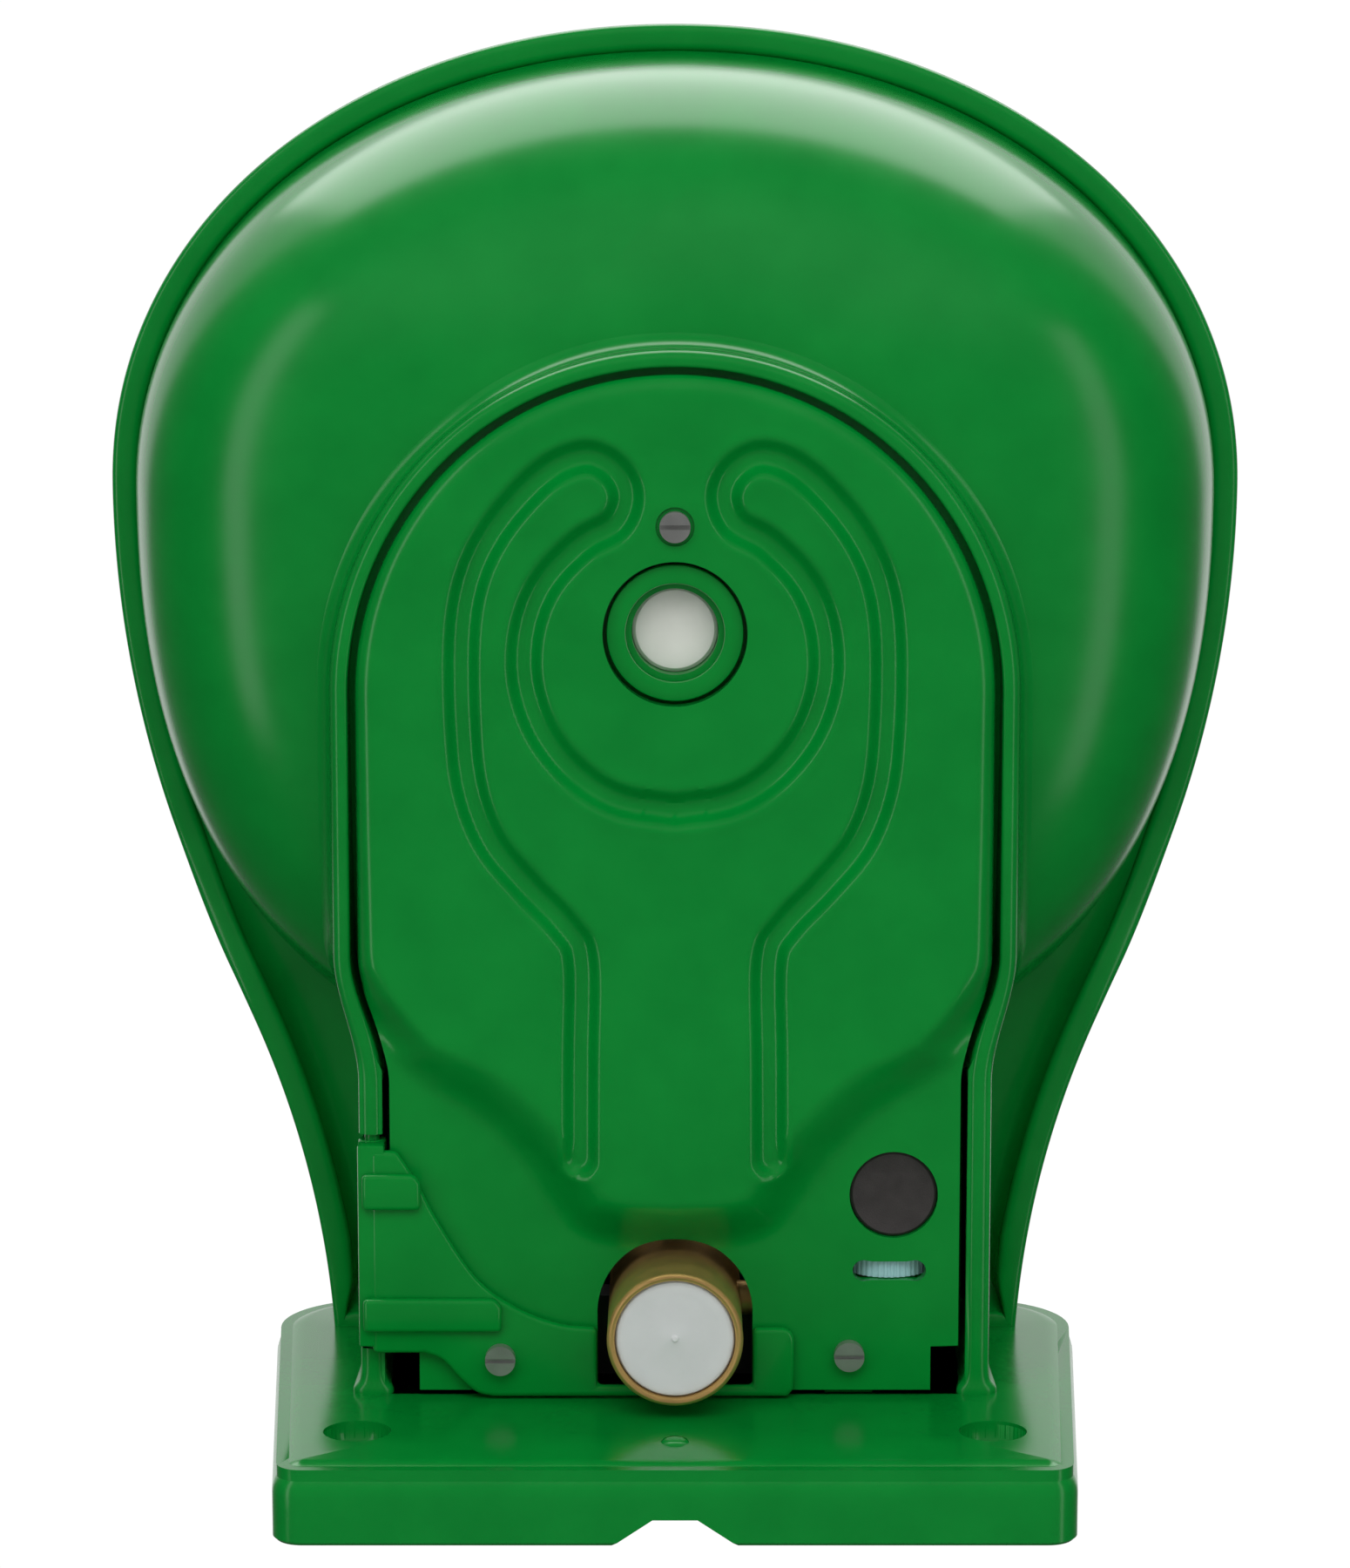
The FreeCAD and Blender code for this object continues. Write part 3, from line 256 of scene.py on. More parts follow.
def rim_outline():
    """Half of the rim's plan, from the front round to the wall, as points with X above 0.

    The front is a superellipse of power 2.06. It runs on as a convex arc to the neck, and as a
    concave arc from there to the wall plate."""
    half, front_reach, convex_radius, concave_radius = 135.6, 109.5, 262, 235
    neck, back_edge = -107, -15.0
    turn = math.asin((neck - WIDEST) / convex_radius)
    angle = np.linspace(-math.pi / 2, 0, 240)
    power = 2 / 2.06
    front = np.stack([half * np.cos(angle) ** power,
                      WIDEST - front_reach * np.abs(np.sin(angle)) ** power], -1)
    angle = np.linspace(0, turn, 120)[1:]
    middle = np.array([half - convex_radius, WIDEST])
    convex = middle + convex_radius * np.stack([np.cos(angle), np.sin(angle)], -1)
    far = middle + (convex_radius + concave_radius) * np.array([math.cos(turn), math.sin(turn)])
    end = math.asin((far[1] - back_edge) / concave_radius)
    angle = np.linspace(math.pi + turn, math.pi + end, 120)[1:]
    concave = far + concave_radius * np.stack([np.cos(angle), np.sin(angle)], -1)
    across = np.linspace(concave[-1, 0], 0, 60)[1:]
    back = np.stack([across, np.full(len(across), back_edge)], -1)
    return np.concatenate([front, convex, concave, back])


def plan_angles(count):
    """Angles about the widest line's centre that space points evenly along the rim, with the
    rim's radius at each and how much a ray there leans from the rim's own normal."""
    line = rim_outline()
    step = np.hypot(*np.diff(line, axis=0).T)
    run = np.concatenate([[0], np.cumsum(step)])
    spots = np.linspace(0, run[-1], count // 2 + 1)
    x, y = np.interp(spots, run, line[:, 0]), np.interp(spots, run, line[:, 1])
    x, y = np.concatenate([x, -x[-2:0:-1]]), np.concatenate([y, y[-2:0:-1]])
    angle, radius = np.arctan2(y - WIDEST, x), np.hypot(x, y - WIDEST)
    tangent = np.stack([np.roll(x, -1) - np.roll(x, 1), np.roll(y, -1) - np.roll(y, 1)], -1)
    tangent /= np.hypot(*tangent.T)[:, None]
    lean = np.abs(tangent[:, 1] * np.cos(angle) - tangent[:, 0] * np.sin(angle))
    return angle, radius, 1 / np.clip(lean, 0.5, 1)


def plan_power(behind):
    """Power of the bowl's plan, a superellipse: 2.35 behind the widest line, 2.05 before it."""
    return np.where(behind, 2.35, 2.05)


def egg(angle, measures):
    """Radius of the bowl's plan at an angle, from its half width and its two reaches."""
    half, front, rear = measures
    behind = np.sin(angle) > 0
    power = plan_power(behind)
    reach = np.where(behind, rear, front)
    across, along = np.abs(np.cos(angle) / half), np.abs(np.sin(angle) / reach)
    return (across ** power + along ** power) ** (-1 / power)


def wall_power(x, ahead):
    """Power of the wall's superellipse in the direction of a point: 3.6 at the sides, falling
    to 2.5 at the front, where the wall leans more."""
    return 3.6 - 1.1 * smooth_step(-ahead / np.maximum(np.hypot(x, ahead), 1e-6), 0.2, 0.97)


def dome_level(x, y):
    """Z of the bowl's outside over a point: a superellipse of the wall's power of how far out
    the point lies."""
    half, front, rear = DOME
    ahead = y - WIDEST
    power = plan_power(ahead > 0)
    reach = np.where(ahead > 0, rear, front)
    out = (np.abs(x / half) ** power + np.abs(ahead / reach) ** power) ** (1 / power)
    wall = wall_power(x, ahead)
    return DOME_TOP - DOME_DEEP * (1 - np.clip(out, 0, 1) ** wall) ** (1 / wall)


def bowl_rows(sizes, count=560):
    """The bowl's wall as rings carried from the drain's bore over the dish, the rim, its band,
    the outside and the drain sleeve, back to the bore."""
    bead, band, fillet = sizes.rim_bead / MM, sizes.rim_band / MM, sizes.rim_fillet / MM
    angle, rim, lean = plan_angles(count)
    cos, sin = np.cos(angle), np.sin(angle)
    dish, dome = egg(angle, DISH), egg(angle, DOME)
    power = wall_power(cos, sin)
    rows = []

    def polar(radius, level):
        rows.append(np.stack([radius * cos, WIDEST + radius * sin, level + 0 * cos], -1))

    foot = dish * 0.62
    toward = np.arctan2(WIDEST + foot * sin - DRAIN[1], foot * cos - DRAIN[0])

    def drain_ring(radius, level):
        rows.append(np.stack([DRAIN[0] + radius * np.cos(toward),
                              DRAIN[1] + radius * np.sin(toward), level + 0 * toward], -1))

    # dish: a floor, then a superellipse of the wall's power that is 76 deep below Z 78, and
    # that leaves the floor in a soft curve
    drain_ring(DRAIN_BORE, DISH_FLOOR)
    start = rows[0]
    end = np.stack([foot * cos, WIDEST + foot * sin, DISH_FLOOR + 0 * cos], -1)
    rows += [start + (end - start) * share for share in np.linspace(0.08, 1, 14)]
    edge, lip = 3.0, 2.2        # roundings of the rim's outer edge and of the dish's lip
    softness = 6
    for out in np.concatenate([np.linspace(0.64, 0.9, 16), 1 - np.geomspace(0.08, 1e-5, 16)]):
        above = 78 - 76 * (1 - out ** power) ** (1 / power) - DISH_FLOOR
        level = DISH_FLOOR + 0.5 * (above + np.sqrt(above ** 2 + softness))
        polar(dish * out, np.minimum(level, DECK - edge))
    for turn in np.linspace(0, math.pi / 2, 7):
        polar(dish + lip * (1 - np.cos(turn)), DECK - lip + lip * np.sin(turn))
    # deck and the rim's rounded outer edge
    inner, outer = dish + lip, rim - edge * lean
    for share in np.linspace(0.1, 1, 8):
        polar(inner + (outer - inner) * share, DECK)
    for turn in np.linspace(0.2, math.pi / 2, 6):
        polar(rim - lean * edge * (1 - np.sin(turn)), DECK - edge + edge * np.cos(turn))
    # lip: lower at the neck than round the front, with a flat band under it
    at_neck = smooth_step(WIDEST + rim * sin, -140, -95)
    low = 52 - 10 * at_neck
    for share in (0.3, 0.65):
        polar(rim, DECK - edge + (low + band - DECK + edge) * share)
    for turn in np.linspace(0, math.pi, 21):
        side = np.sign(np.cos(turn)) * abs(np.cos(turn)) ** 0.7
        polar(rim - lean * bead * (1 - side), low + band - band * np.sin(turn) ** 0.7)
    # hollow from the band to the bowl's wall, or across the deck's underside at the neck
    inside = rim - 2 * lean * bead
    wall = dome + fillet * 0.4
    for share in np.concatenate([[0.03, 0.07, 0.12, 0.2, 0.3, 0.45], np.linspace(0.6, 1, 5)]):
        radius = inside + (wall - inside) * share
        rise = (1 - np.exp(-np.abs(inside - radius) / 2.2)) * (5 * at_neck + 0.8)
        polar(radius, low + band + rise)
    top = rows[-1][:, 2]
    # outside: superellipse of the wall's power, rounded into the hollow
    begin = np.clip((DOME_TOP - top) / DOME_DEEP, 1e-4, 1)
    start_angle = np.arcsin(begin ** (power / 2))
    for share in np.concatenate([np.linspace(0, 0.2, 8)[1:], np.linspace(0.2, 0.92, 44)[1:]]):
        turn = start_angle + (math.pi / 2 - start_angle) * share
        level = DOME_TOP - DOME_DEEP * np.sin(turn) ** (2 / power)
        swell = fillet * 0.4 * np.exp(-(top - level) / 1.6)
        polar(dome * np.cos(turn) ** (2 / power) + swell, level)
    # drain sleeve, with a step inside its end
    for radius, level in ((15.6, -10), (15.6, -15), (15.4, -15.4), (15, -15.5), (11.8, -15.5),
                          (11.35, -15.35), (11.2, -15), (11.2, -12.5), (DRAIN_BORE, -12.5)):
        drain_ring(radius, level)
    return np.stack(rows)


def arch_path(half, post, count=150):
    """Half of the skirt's plan line with its outward normal: a round arch of one radius, a
    straight side, a step in at the shoulder and a post that runs to the wall."""
    turn = np.linspace(-math.pi / 2, 0, count)
    arch = np.stack([half * np.cos(turn), ARCH + half * np.sin(turn)], -1)
    y = np.concatenate([np.linspace(ARCH, -122, 24)[1:], np.linspace(-122, -92, 26)[1:],
                        np.linspace(-92, -26, 24)[1:], np.linspace(-26, -16, 14)[1:]])
    side = np.stack([half - (half - post) * smooth_step(y, -122, -92), y], -1)
    return np.concatenate([arch, side])


def skirt_rows(sizes):
    """The skirt's section carried along its plan: inner wall, lower edge rounded off outwards,
    outer wall and a hollow foot on the bowl, swelling to a ring where each post ends."""
    halves = arch_path(74.5, 67.5), arch_path(78.5, 73.1)
    inner, outer = [np.concatenate([half[::-1], half[1:] * [-1, 1]]) for half in halves]
    across = outer - inner
    thick = np.hypot(*across.T)
    normal = across / thick[:, None]
    post = smooth_step(inner[:, 1], -112, -94)
    flare = 1.9 * np.exp(-np.clip(-19.5 - inner[:, 1], 0, 99) / 1.3)
    over_bowl = dome_level(*(outer + normal * sizes.skirt_foot / MM).T)
    over_wall = dome_level(*outer.T)
    under_deck = 62.5
    roof = np.minimum(over_wall + 1.5, under_deck)
    roof = np.where(outer[:, 1] > -105, under_deck, roof)
    base = -15 - 0.3 * flare
    rows = []

    def at(offset, level):
        rows.append(np.concatenate([inner + normal * np.expand_dims(offset + 0 * thick, 1),
                                    np.expand_dims(level + 0 * thick, 1)], 1))

    at(-flare * 0.3, 4)
    at(-flare * 0.6, -8)
    inside = 0.8 + 1.6 * post
    for turn in np.linspace(0, math.pi / 2, 7):
        at(inside * (1 - np.cos(turn)) - flare * np.cos(turn), base + inside * (1 - np.sin(turn)))
    outside = np.minimum(sizes.skirt_rounding / MM + 0.3 * post, thick - inside)
    for turn in np.linspace(math.pi / 2, 0, 10):
        at(thick - outside * (1 - np.cos(turn)) + flare * np.cos(turn),
           base + outside * (1 - np.sin(turn)))
    foot = sizes.skirt_foot / MM
    free = over_wall > 20
    for share in np.linspace(0.1, 1, 10):
        hollow = thick + foot * (1 - np.cos(share * math.pi / 2))
        on_bowl = dome_level(*(inner + normal * hollow[:, None]).T)
        start = base + outside
        settle = start + (on_bowl + 0.25 - start) * np.sin(share * math.pi / 2) ** 0.8
        rise = start + (roof - start) * share
        at(np.where(free, thick + flare * (1 - share), hollow),
           np.where(free, rise, np.minimum(settle, under_deck)))
    at(thick * 0.5, np.where(free, 63, np.minimum(over_bowl + 3, 63)))
    return np.stack(rows)


def plate_outline(inset, corner, steps=14):
    """The wall plate's outline in X and Z: a trapezium 178 wide below and 200 above, 140 tall,
    with round corners, all inset by one distance."""
    lean = math.atan2(11, 2 * PLATE_HALF)
    tilt = math.degrees(lean)
    points = []
    for side, up, low, high in ((1, -1, -90, -tilt), (1, 1, -tilt, 90), (-1, 1, 90, 180 + tilt),
                                (-1, -1, 180 + tilt, 270)):
        radius = corner if up > 0 else 7.0
        shift = radius * (1 / math.cos(lean) + up * math.tan(lean))
        x, z = side * (94.5 + 5.5 * up - shift), up * (PLATE_HALF - radius)
        turn = np.radians(np.linspace(low, high, steps))
        reach = max(radius - inset, 0.3)
        points.append(np.stack([x + reach * np.cos(turn), z + reach * np.sin(turn)], -1))
    return np.concatenate(points)


def plate_rows(sizes):
    """The plate as rings of its outline: front face, rounded edge, side, back edge, and the
    hollow's wall and floor."""
    rounding, corner = sizes.plate_rounding / MM, sizes.plate_corner / MM
    rows = []

    def ring(inset, reach, shrink=1.0):
        line = plate_outline(inset, corner) * shrink
        rows.append(np.stack([line[:, 0], np.full(len(line), -reach), line[:, 1]], -1))

    for shrink in (0.0, 0.35, 0.7):
        ring(rounding, PLATE_OUT, shrink)
    for turn in np.linspace(0, math.pi / 2, 9):
        ring(rounding * (1 - math.sin(turn)), PLATE_OUT - rounding * (1 - math.cos(turn)))
    side_and_hollow = ((0, 8), (0, 4), (0, 0.8), (0.8, 0), (3.6, 0), (4, 0.4), (4, 13), (5, 14))
    for inset, reach in side_and_hollow:
        ring(inset, reach)
    for shrink in (0.6, 0.0):
        ring(5, 14, shrink)
    return np.stack(rows)


# ---------------------------------------------------------------- the cover's formulas

CHANNEL = [(-21.6, -76.2), (-21.5, -100), (-21.4, -121.9), (-25, -129.5), (-34.3, -139.4),
           (-42, -149), (-46.5, -161), (-48.1, -175.6), (-48.2, -195.6), (-45.9, -209),
           (-40.5, -220), (-32, -230), (-25, -235), (-18.6, -236.2), (-13.3, -233), (-11, -227.4),
           (-13.5, -221.2), (-20.8, -216.9), (-28.7, -208.8), (-33, -199.5), (-34.2, -189),
           (-32.4, -179.5), (-28.2, -171), (-21, -163.2), (-12, -158.2), (0, -156.3)]


def rounded_line(points, per_span=10):
    """A Catmull-Rom curve through points, as a dense line."""
    p = np.array(points, float)
    p = np.concatenate([[2 * p[0] - p[1]], p, [2 * p[-1] - p[-2]]])
    t = np.linspace(0, 1, per_span, endpoint=False)[:, None]
    spans = []
    for a, b, c, d in zip(p[:-3], p[1:-2], p[2:-1], p[3:]):
        spans.append(0.5 * (2 * b + (c - a) * t + (2 * a - 5 * b + 4 * c - d) * t ** 2
                            + (3 * b - a - 3 * c + d) * t ** 3))
    return np.concatenate([*spans, p[-2:-1]])


def distance_to(line, spots, closed=False):
    """Distance of each spot to a line of straight spans."""
    ends = np.roll(line, -1, axis=0) if closed else line[1:]
    starts = line if closed else line[:-1]
    best = np.full(len(spots), 1e9)
    for start, end in zip(starts, ends):
        along = end - start
        share = np.clip(((spots - start) @ along) / (along @ along), 0, 1)
        gap = np.hypot(*(spots - start - share[:, None] * along).T)
        best = np.minimum(best, gap)
    return best


def inside_of(line, spots):
    """Whether each spot lies inside a closed line, by counting crossings."""
    inside = np.zeros(len(spots), bool)
    x, y = spots.T
    for (x0, y0), (x1, y1) in zip(line, np.roll(line, -1, axis=0)):
        if y0 != y1:
            crosses = (y0 > y) != (y1 > y)
            inside ^= crosses & (x < (x1 - x0) * (y - y0) / (y1 - y0) + x0)
    return inside


def pan_outline():
    """The raised pan's plan: the cover's arch and sides, then an S-curve in to a nose."""
    turn = np.linspace(-math.pi / 2, 0, 60)
    arch = np.stack([COVER_HALF * np.cos(turn), ARCH + COVER_HALF * np.sin(turn)], -1)
    side = np.array([(COVER_HALF, -150), (72.7, -120), (71.2, -112), (68.5, -103)])
    curve = rounded_line([(68.5, -103), (64, -95), (57, -90), (47, -84), (38, -75), (31, -65),
                          (24, -56.5), (14, -53), (0, -52)], 8)
    half = np.concatenate([arch, side, curve[1:]])
    return np.concatenate([half, half[-2:0:-1] * [-1, 1]])


def cover_level(spots, sizes):
    """Z of the cover's lower face. The pan slopes 1.8 degrees down towards the wall and 4 more
    over its last third, rounds up to its edge as a quarter ellipse, and has the channel pressed
    in it with a rounded lip."""
    x, y = spots.T
    slope = math.tan(math.radians(1.8)) * (y - ARCH + COVER_HALF)
    pan = FLANGE - slope - 4 * smooth_step(y, -160, -70)
    line = pan_outline()
    depth = distance_to(line, spots, closed=True)
    behind = smooth_step(y, -125, -95)
    width = sizes.cover_rounding / MM + 10 * behind
    edge = COVER_EDGE + (FLANGE - COVER_EDGE) * smooth_step(y, -108, -98)
    share = np.clip(depth / width, 0, 1)
    fall = 1 - np.sqrt(1 - (1 - share) ** 2)
    soft = (1 - share) ** 2 * (1 + 2 * share)
    level = pan + (edge - pan) * (fall * (1 - behind) + soft * behind)
    flat = np.where(y < -108, COVER_EDGE, FLANGE)
    level = np.where(inside_of(line, spots), level, flat)
    tracks = rounded_line(CHANNEL, 6)
    gap = distance_to(tracks, np.stack([-np.abs(x), y], -1))
    half = sizes.channel_half / MM
    press = 1 - smooth_step(gap, 1.0, half)
    ridge = np.exp(-((gap - half - 0.6) / 1.3) ** 2) * 0.2
    return level + sizes.channel_depth / MM * press - ridge


def cover_half(y):
    """Half width of the cover's flange at Y: the straight sides run in at the shoulder, then
    step in at the rear corners."""
    side = COVER_HALF - 7.1 * smooth_step(y, -122, -92)
    return np.where(y > -30, 59.3, side)


def cover_grid(sizes):
    """The cover's grid: straight lines across from the middle line to each side, and rays from
    the arch's centre. Its lower face follows cover_level, and its upper face is flat, with a
    wall between them all round."""
    y = np.concatenate([np.linspace(-19.5, -29.9, 14), np.linspace(-30.1, -97, 90),
                        np.linspace(-97, ARCH, 92)[1:]])
    turn = np.linspace(0, -math.pi / 2, 126)[1:]
    edge_x = np.concatenate([cover_half(y), COVER_HALF * np.cos(turn)])
    edge_y = np.concatenate([y, ARCH + COVER_HALF * np.sin(turn)])
    root_y = np.concatenate([y, np.full(len(turn), ARCH)])
    edge = np.stack([np.concatenate([edge_x, -edge_x[-2::-1]]),
                     np.concatenate([edge_y, edge_y[-2::-1]])], -1)
    root = np.stack([0 * edge[:, 0], np.concatenate([root_y, root_y[-2::-1]])], -1)
    shares = np.concatenate([np.linspace(0, 0.9, 84), 1 - np.geomspace(0.09, 0.002, 12), [1.0]])
    spots = root[None] + (edge - root)[None] * shares[:, None, None]
    flat = spots.reshape(-1, 2)
    level = cover_level(flat, sizes)
    lower = np.concatenate([flat, level[:, None]], 1).reshape(*spots.shape[:2], 3)
    walls = []
    for rise in (0.6, 1.0):
        wall = lower[-1].copy()
        wall[:, 2] += (COVER_TOP - wall[:, 2]) * rise
        walls.append(wall)
    ceiling = np.full((len(edge), 1), COVER_TOP)
    upper = [np.concatenate([root + (edge - root) * share, ceiling], 1)
             for share in (0.98, 0.8, 0.4, 0.0)]
    return np.concatenate([lower, np.stack(walls + upper)])


# ---------------------------------------------------------------- materials

def add(tree, kind, inputs=None, links=None, stops=(), **settings):
    """Adds a shader node with its settings, its input values, its links from other nodes, and
    the (position, colour) stops of a colour ramp."""
    node = tree.nodes.new(kind)
    for key, value in settings.items():
        setattr(node, key, value)
    for key, value in (inputs or {}).items():
        node.inputs[key].default_value = value
    for key, source in (links or {}).items():
        tree.links.new(source, node.inputs[key])
    for index, (position, value) in enumerate(stops):
        if index == len(node.color_ramp.elements):
            node.color_ramp.elements.new(position)
        node.color_ramp.elements[index].position = position
        node.color_ramp.elements[index].color = value
    return node


def new_material(name):
    """An empty node material with its output, its shader and Object coordinates."""
    stuff = bpy.data.materials.new(name)
    stuff.use_nodes = True
    tree = stuff.node_tree
    tree.nodes.clear()
    shader = add(tree, "ShaderNodeBsdfPrincipled")
    add(tree, "ShaderNodeOutputMaterial", links={"Surface": shader.outputs["BSDF"]})
    where = add(tree, "ShaderNodeTexCoord")
    return stuff, tree, shader, where.outputs["Object"]


def tint(value, factor):
    """A colour made lighter or darker by a factor."""
    return tuple(min(1.0, c * factor) for c in value[:3]) + (1.0,)


def dress(tree, shader, pattern, shades, gloss, height, relief):
    """Lets a pattern drive a shader's colour between two (position, colour) stops and its
    roughness between two values, and a height drive its relief of (strength, distance)."""
    hue = add(tree, "ShaderNodeValToRGB", links={"Fac": pattern}, stops=shades)
    shine = add(tree, "ShaderNodeMapRange", {"To Min": gloss[0], "To Max": gloss[1]},
                {"Value": pattern})
    bump = add(tree, "ShaderNodeBump", {"Strength": relief[0], "Distance": relief[1]},
               {"Height": height})
    tree.links.new(hue.outputs["Color"], shader.inputs["Base Color"])
    tree.links.new(shine.outputs["Result"], shader.inputs["Roughness"])
    tree.links.new(bump.outputs["Normal"], shader.inputs["Normal"])


def moulded(name, base, roughness, ior=1.49, cloud=60.0, bump=0.02, grain=2500.0, spread=0.06,
            through=0.0):
    """Injection-moulded plastic. Slow flow clouds vary its colour and gloss, and a fine grain
    of less than half a millimetre breaks up its highlights."""
    stuff, tree, shader, place = new_material(name)
    shader.inputs["IOR"].default_value = ior
    flow = add(tree, "ShaderNodeTexNoise", {"Scale": cloud, "Detail": 3.0, "Roughness": 0.55},
               {"Vector": place})
    fine = add(tree, "ShaderNodeTexNoise", {"Scale": grain, "Detail": 2.0}, {"Vector": place})
    dress(tree, shader, flow.outputs["Fac"],
          [(0.3, tint(base, 1 - spread)), (0.7, tint(base, 1 + spread))],
          (roughness * 0.85, roughness * 1.2), fine.outputs["Fac"], (bump, 0.0002))
    if through:
        shader.inputs["Subsurface Weight"].default_value = through
        shader.inputs["Subsurface Radius"].default_value = (0.004, 0.004, 0.004)
        shader.inputs["Subsurface Scale"].default_value = 1.0
    return stuff


def turned_metal(name, base, roughness, centre):
    """Turned metal under a thin dull film. Rings about an upright axis, one for each feed of the
    tool, break up its highlights."""
    stuff, tree, shader, place = new_material(name)
    shader.inputs["Metallic"].default_value = 0.8    # the film covers a fifth of it
    feed = 0.35 * MM    # coarse enough to show
    centred = add(tree, "ShaderNodeMapping", {"Location": tuple(-c * MM for c in centre)},
                  {"Vector": place})
    rings = add(tree, "ShaderNodeTexWave", {"Scale": 1 / (20 * feed), "Distortion": 1.5,
                                            "Detail": 2.0},
                {"Vector": centred.outputs["Vector"]}, wave_type="RINGS", rings_direction="Z")
    stain = add(tree, "ShaderNodeTexNoise", {"Scale": 180.0, "Detail": 4.0}, {"Vector": place})
    dress(tree, shader, stain.outputs["Fac"], [(0.35, tint(base, 0.86)), (0.65, base)],
          (roughness * 0.8, roughness * 1.4), rings.outputs["Color"], (0.15, 0.0001))
    return stuff


def rolled_metal(name, base, roughness):
    """Rolled stainless sheet: long fine streaks along one axis from the rolls."""
    stuff, tree, shader, place = new_material(name)
    shader.inputs["Metallic"].default_value = 1.0
    streak = add(tree, "ShaderNodeMapping", {"Scale": (2500.0, 60.0, 2500.0)}, {"Vector": place})
    grain = add(tree, "ShaderNodeTexNoise", {"Scale": 1.0, "Detail": 3.0},
                {"Vector": streak.outputs["Vector"]})
    dress(tree, shader, grain.outputs["Fac"], [(0.3, tint(base, 0.85)), (0.7, base)],
          (roughness * 0.8, roughness * 1.3), grain.outputs["Fac"], (0.08, 0.00005))
    return stuff


def wear(piece, stuff):
    """Gives a piece, or a CAD node's object, one material in all its slots."""
    if not piece.data.materials:
        piece.data.materials.append(stuff)
    for slot in piece.material_slots:
        slot.material = stuff


# ---------------------------------------------------------------- operators

class PieceOperator:
    """What all of this file's operators share."""
    bl_options = {"REGISTER", "UNDO"}

    @staticmethod
    def green():
        """Glossy green polypropylene, injection moulded in a polished tool."""
        done = bpy.data.materials.get("green_polypropylene_moulded")
        if done:
            return done
        shades = bpy.context.scene.drinking_bowl_colours
        return moulded("green_polypropylene_moulded", tuple(shades.green), 0.2)


class DBOWL_OT_shell(PieceOperator, bpy.types.Operator):
    """Builds the bowl with its dish, its rolled rim and its drain sleeve"""
    bl_idname = "dbowl.shell"
    bl_label = "Bowl shell"

    def execute(self, context):
        rows = bowl_rows(context.scene.drinking_bowl_sizes)
        piece = surface("bowl_shell", rows, "housing", around=True, along=True)
        valve_room = block((-67.5, -92, -30), (67.5, -10, 65))
        tongue_window = block((-36, -133, 27), (36, -91, 62))
        cut(piece, [valve_room])
        cut(piece, [tongue_window])
        shade(piece)
        wear(piece, self.green())
        return {"FINISHED"}


class DBOWL_OT_skirt(PieceOperator, bpy.types.Operator):
    """Builds the skirt round the cover and the two posts that run from it to the wall plate"""
    bl_idname = "dbowl.skirt"
    bl_label = "Skirt and posts"

    def execute(self, context):
        rows = skirt_rows(context.scene.drinking_bowl_sizes)
        piece = surface("skirt_rail", rows, "housing", along=True)
        flap_room = block((-80, -80, -20), (-60, -29, -4))
        cut(piece, [flap_room])
        shade(piece)
        wear(piece, self.green())
        return {"FINISHED"}


class DBOWL_OT_plate(PieceOperator, bpy.types.Operator):
    """Builds the wall plate with its bolt recesses and the notch at its foot"""
    bl_idname = "dbowl.plate"
    bl_label = "Wall plate"

    def execute(self, context):
        sizes = context.scene.drinking_bowl_sizes
        piece = surface("wall_plate", plate_rows(sizes), "housing", around=True)
        face = -PLATE_OUT - 1
        low_bolt_head, high_bolt = (72, -43, -12, 7.7), (31, 50, -13, 4.25)
        tools = [rod(side * x, z, face, floor, radius, "Y")
                 for side in (-1, 1) for x, z, floor, radius in (low_bolt_head, high_bolt)]
        notch = [(-14, 1), (-14, 0), (-5, -6), (5, -6), (14, 0), (14, 1)]
        cut(piece, [*tools, prism(notch, -PLATE_HALF - 1, -60)])
        shade(piece)
        wear(piece, self.green())
        pip = turned("gate_pip", [(0, -19.2), (1.6, -19.05), (2.8, -18.5), (3.3, -17.8), (3.3, -17),
                                  (0, -17)], (0, 0, -51), "housing", "Y", 48)
        shade(pip)
        wear(pip, self.green())
        return {"FINISHED"}


class DBOWL_OT_rooms(PieceOperator, bpy.types.Operator):
    """Builds the ribs, bosses, lugs and inner walls behind the bowl from the frame's own body"""
    bl_idname = "dbowl.rooms"
    bl_label = "Inner walls and ribs"

    def execute(self, context):
        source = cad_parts["bowl_body"].data.copy()
        piece = bpy.data.objects.new("inner_rooms", source)
        bpy.context.scene.collection.objects.link(piece)
        tidy_mesh(piece)
        inner = block((-72.7, -104, -14.4), (72.7, -17.5, 69.4))
        plate = plate_outline(1.0, context.scene.drinking_bowl_sizes.plate_corner / MM)
        cut(piece, [inner, prism(plate, -17.2, -0.3, "Y")], "INTERSECT")
        shade(piece)
        piece.data.materials.clear()
        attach(piece, "housing")
        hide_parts("bowl_body")
        wear(piece, self.green())
        return {"FINISHED"}


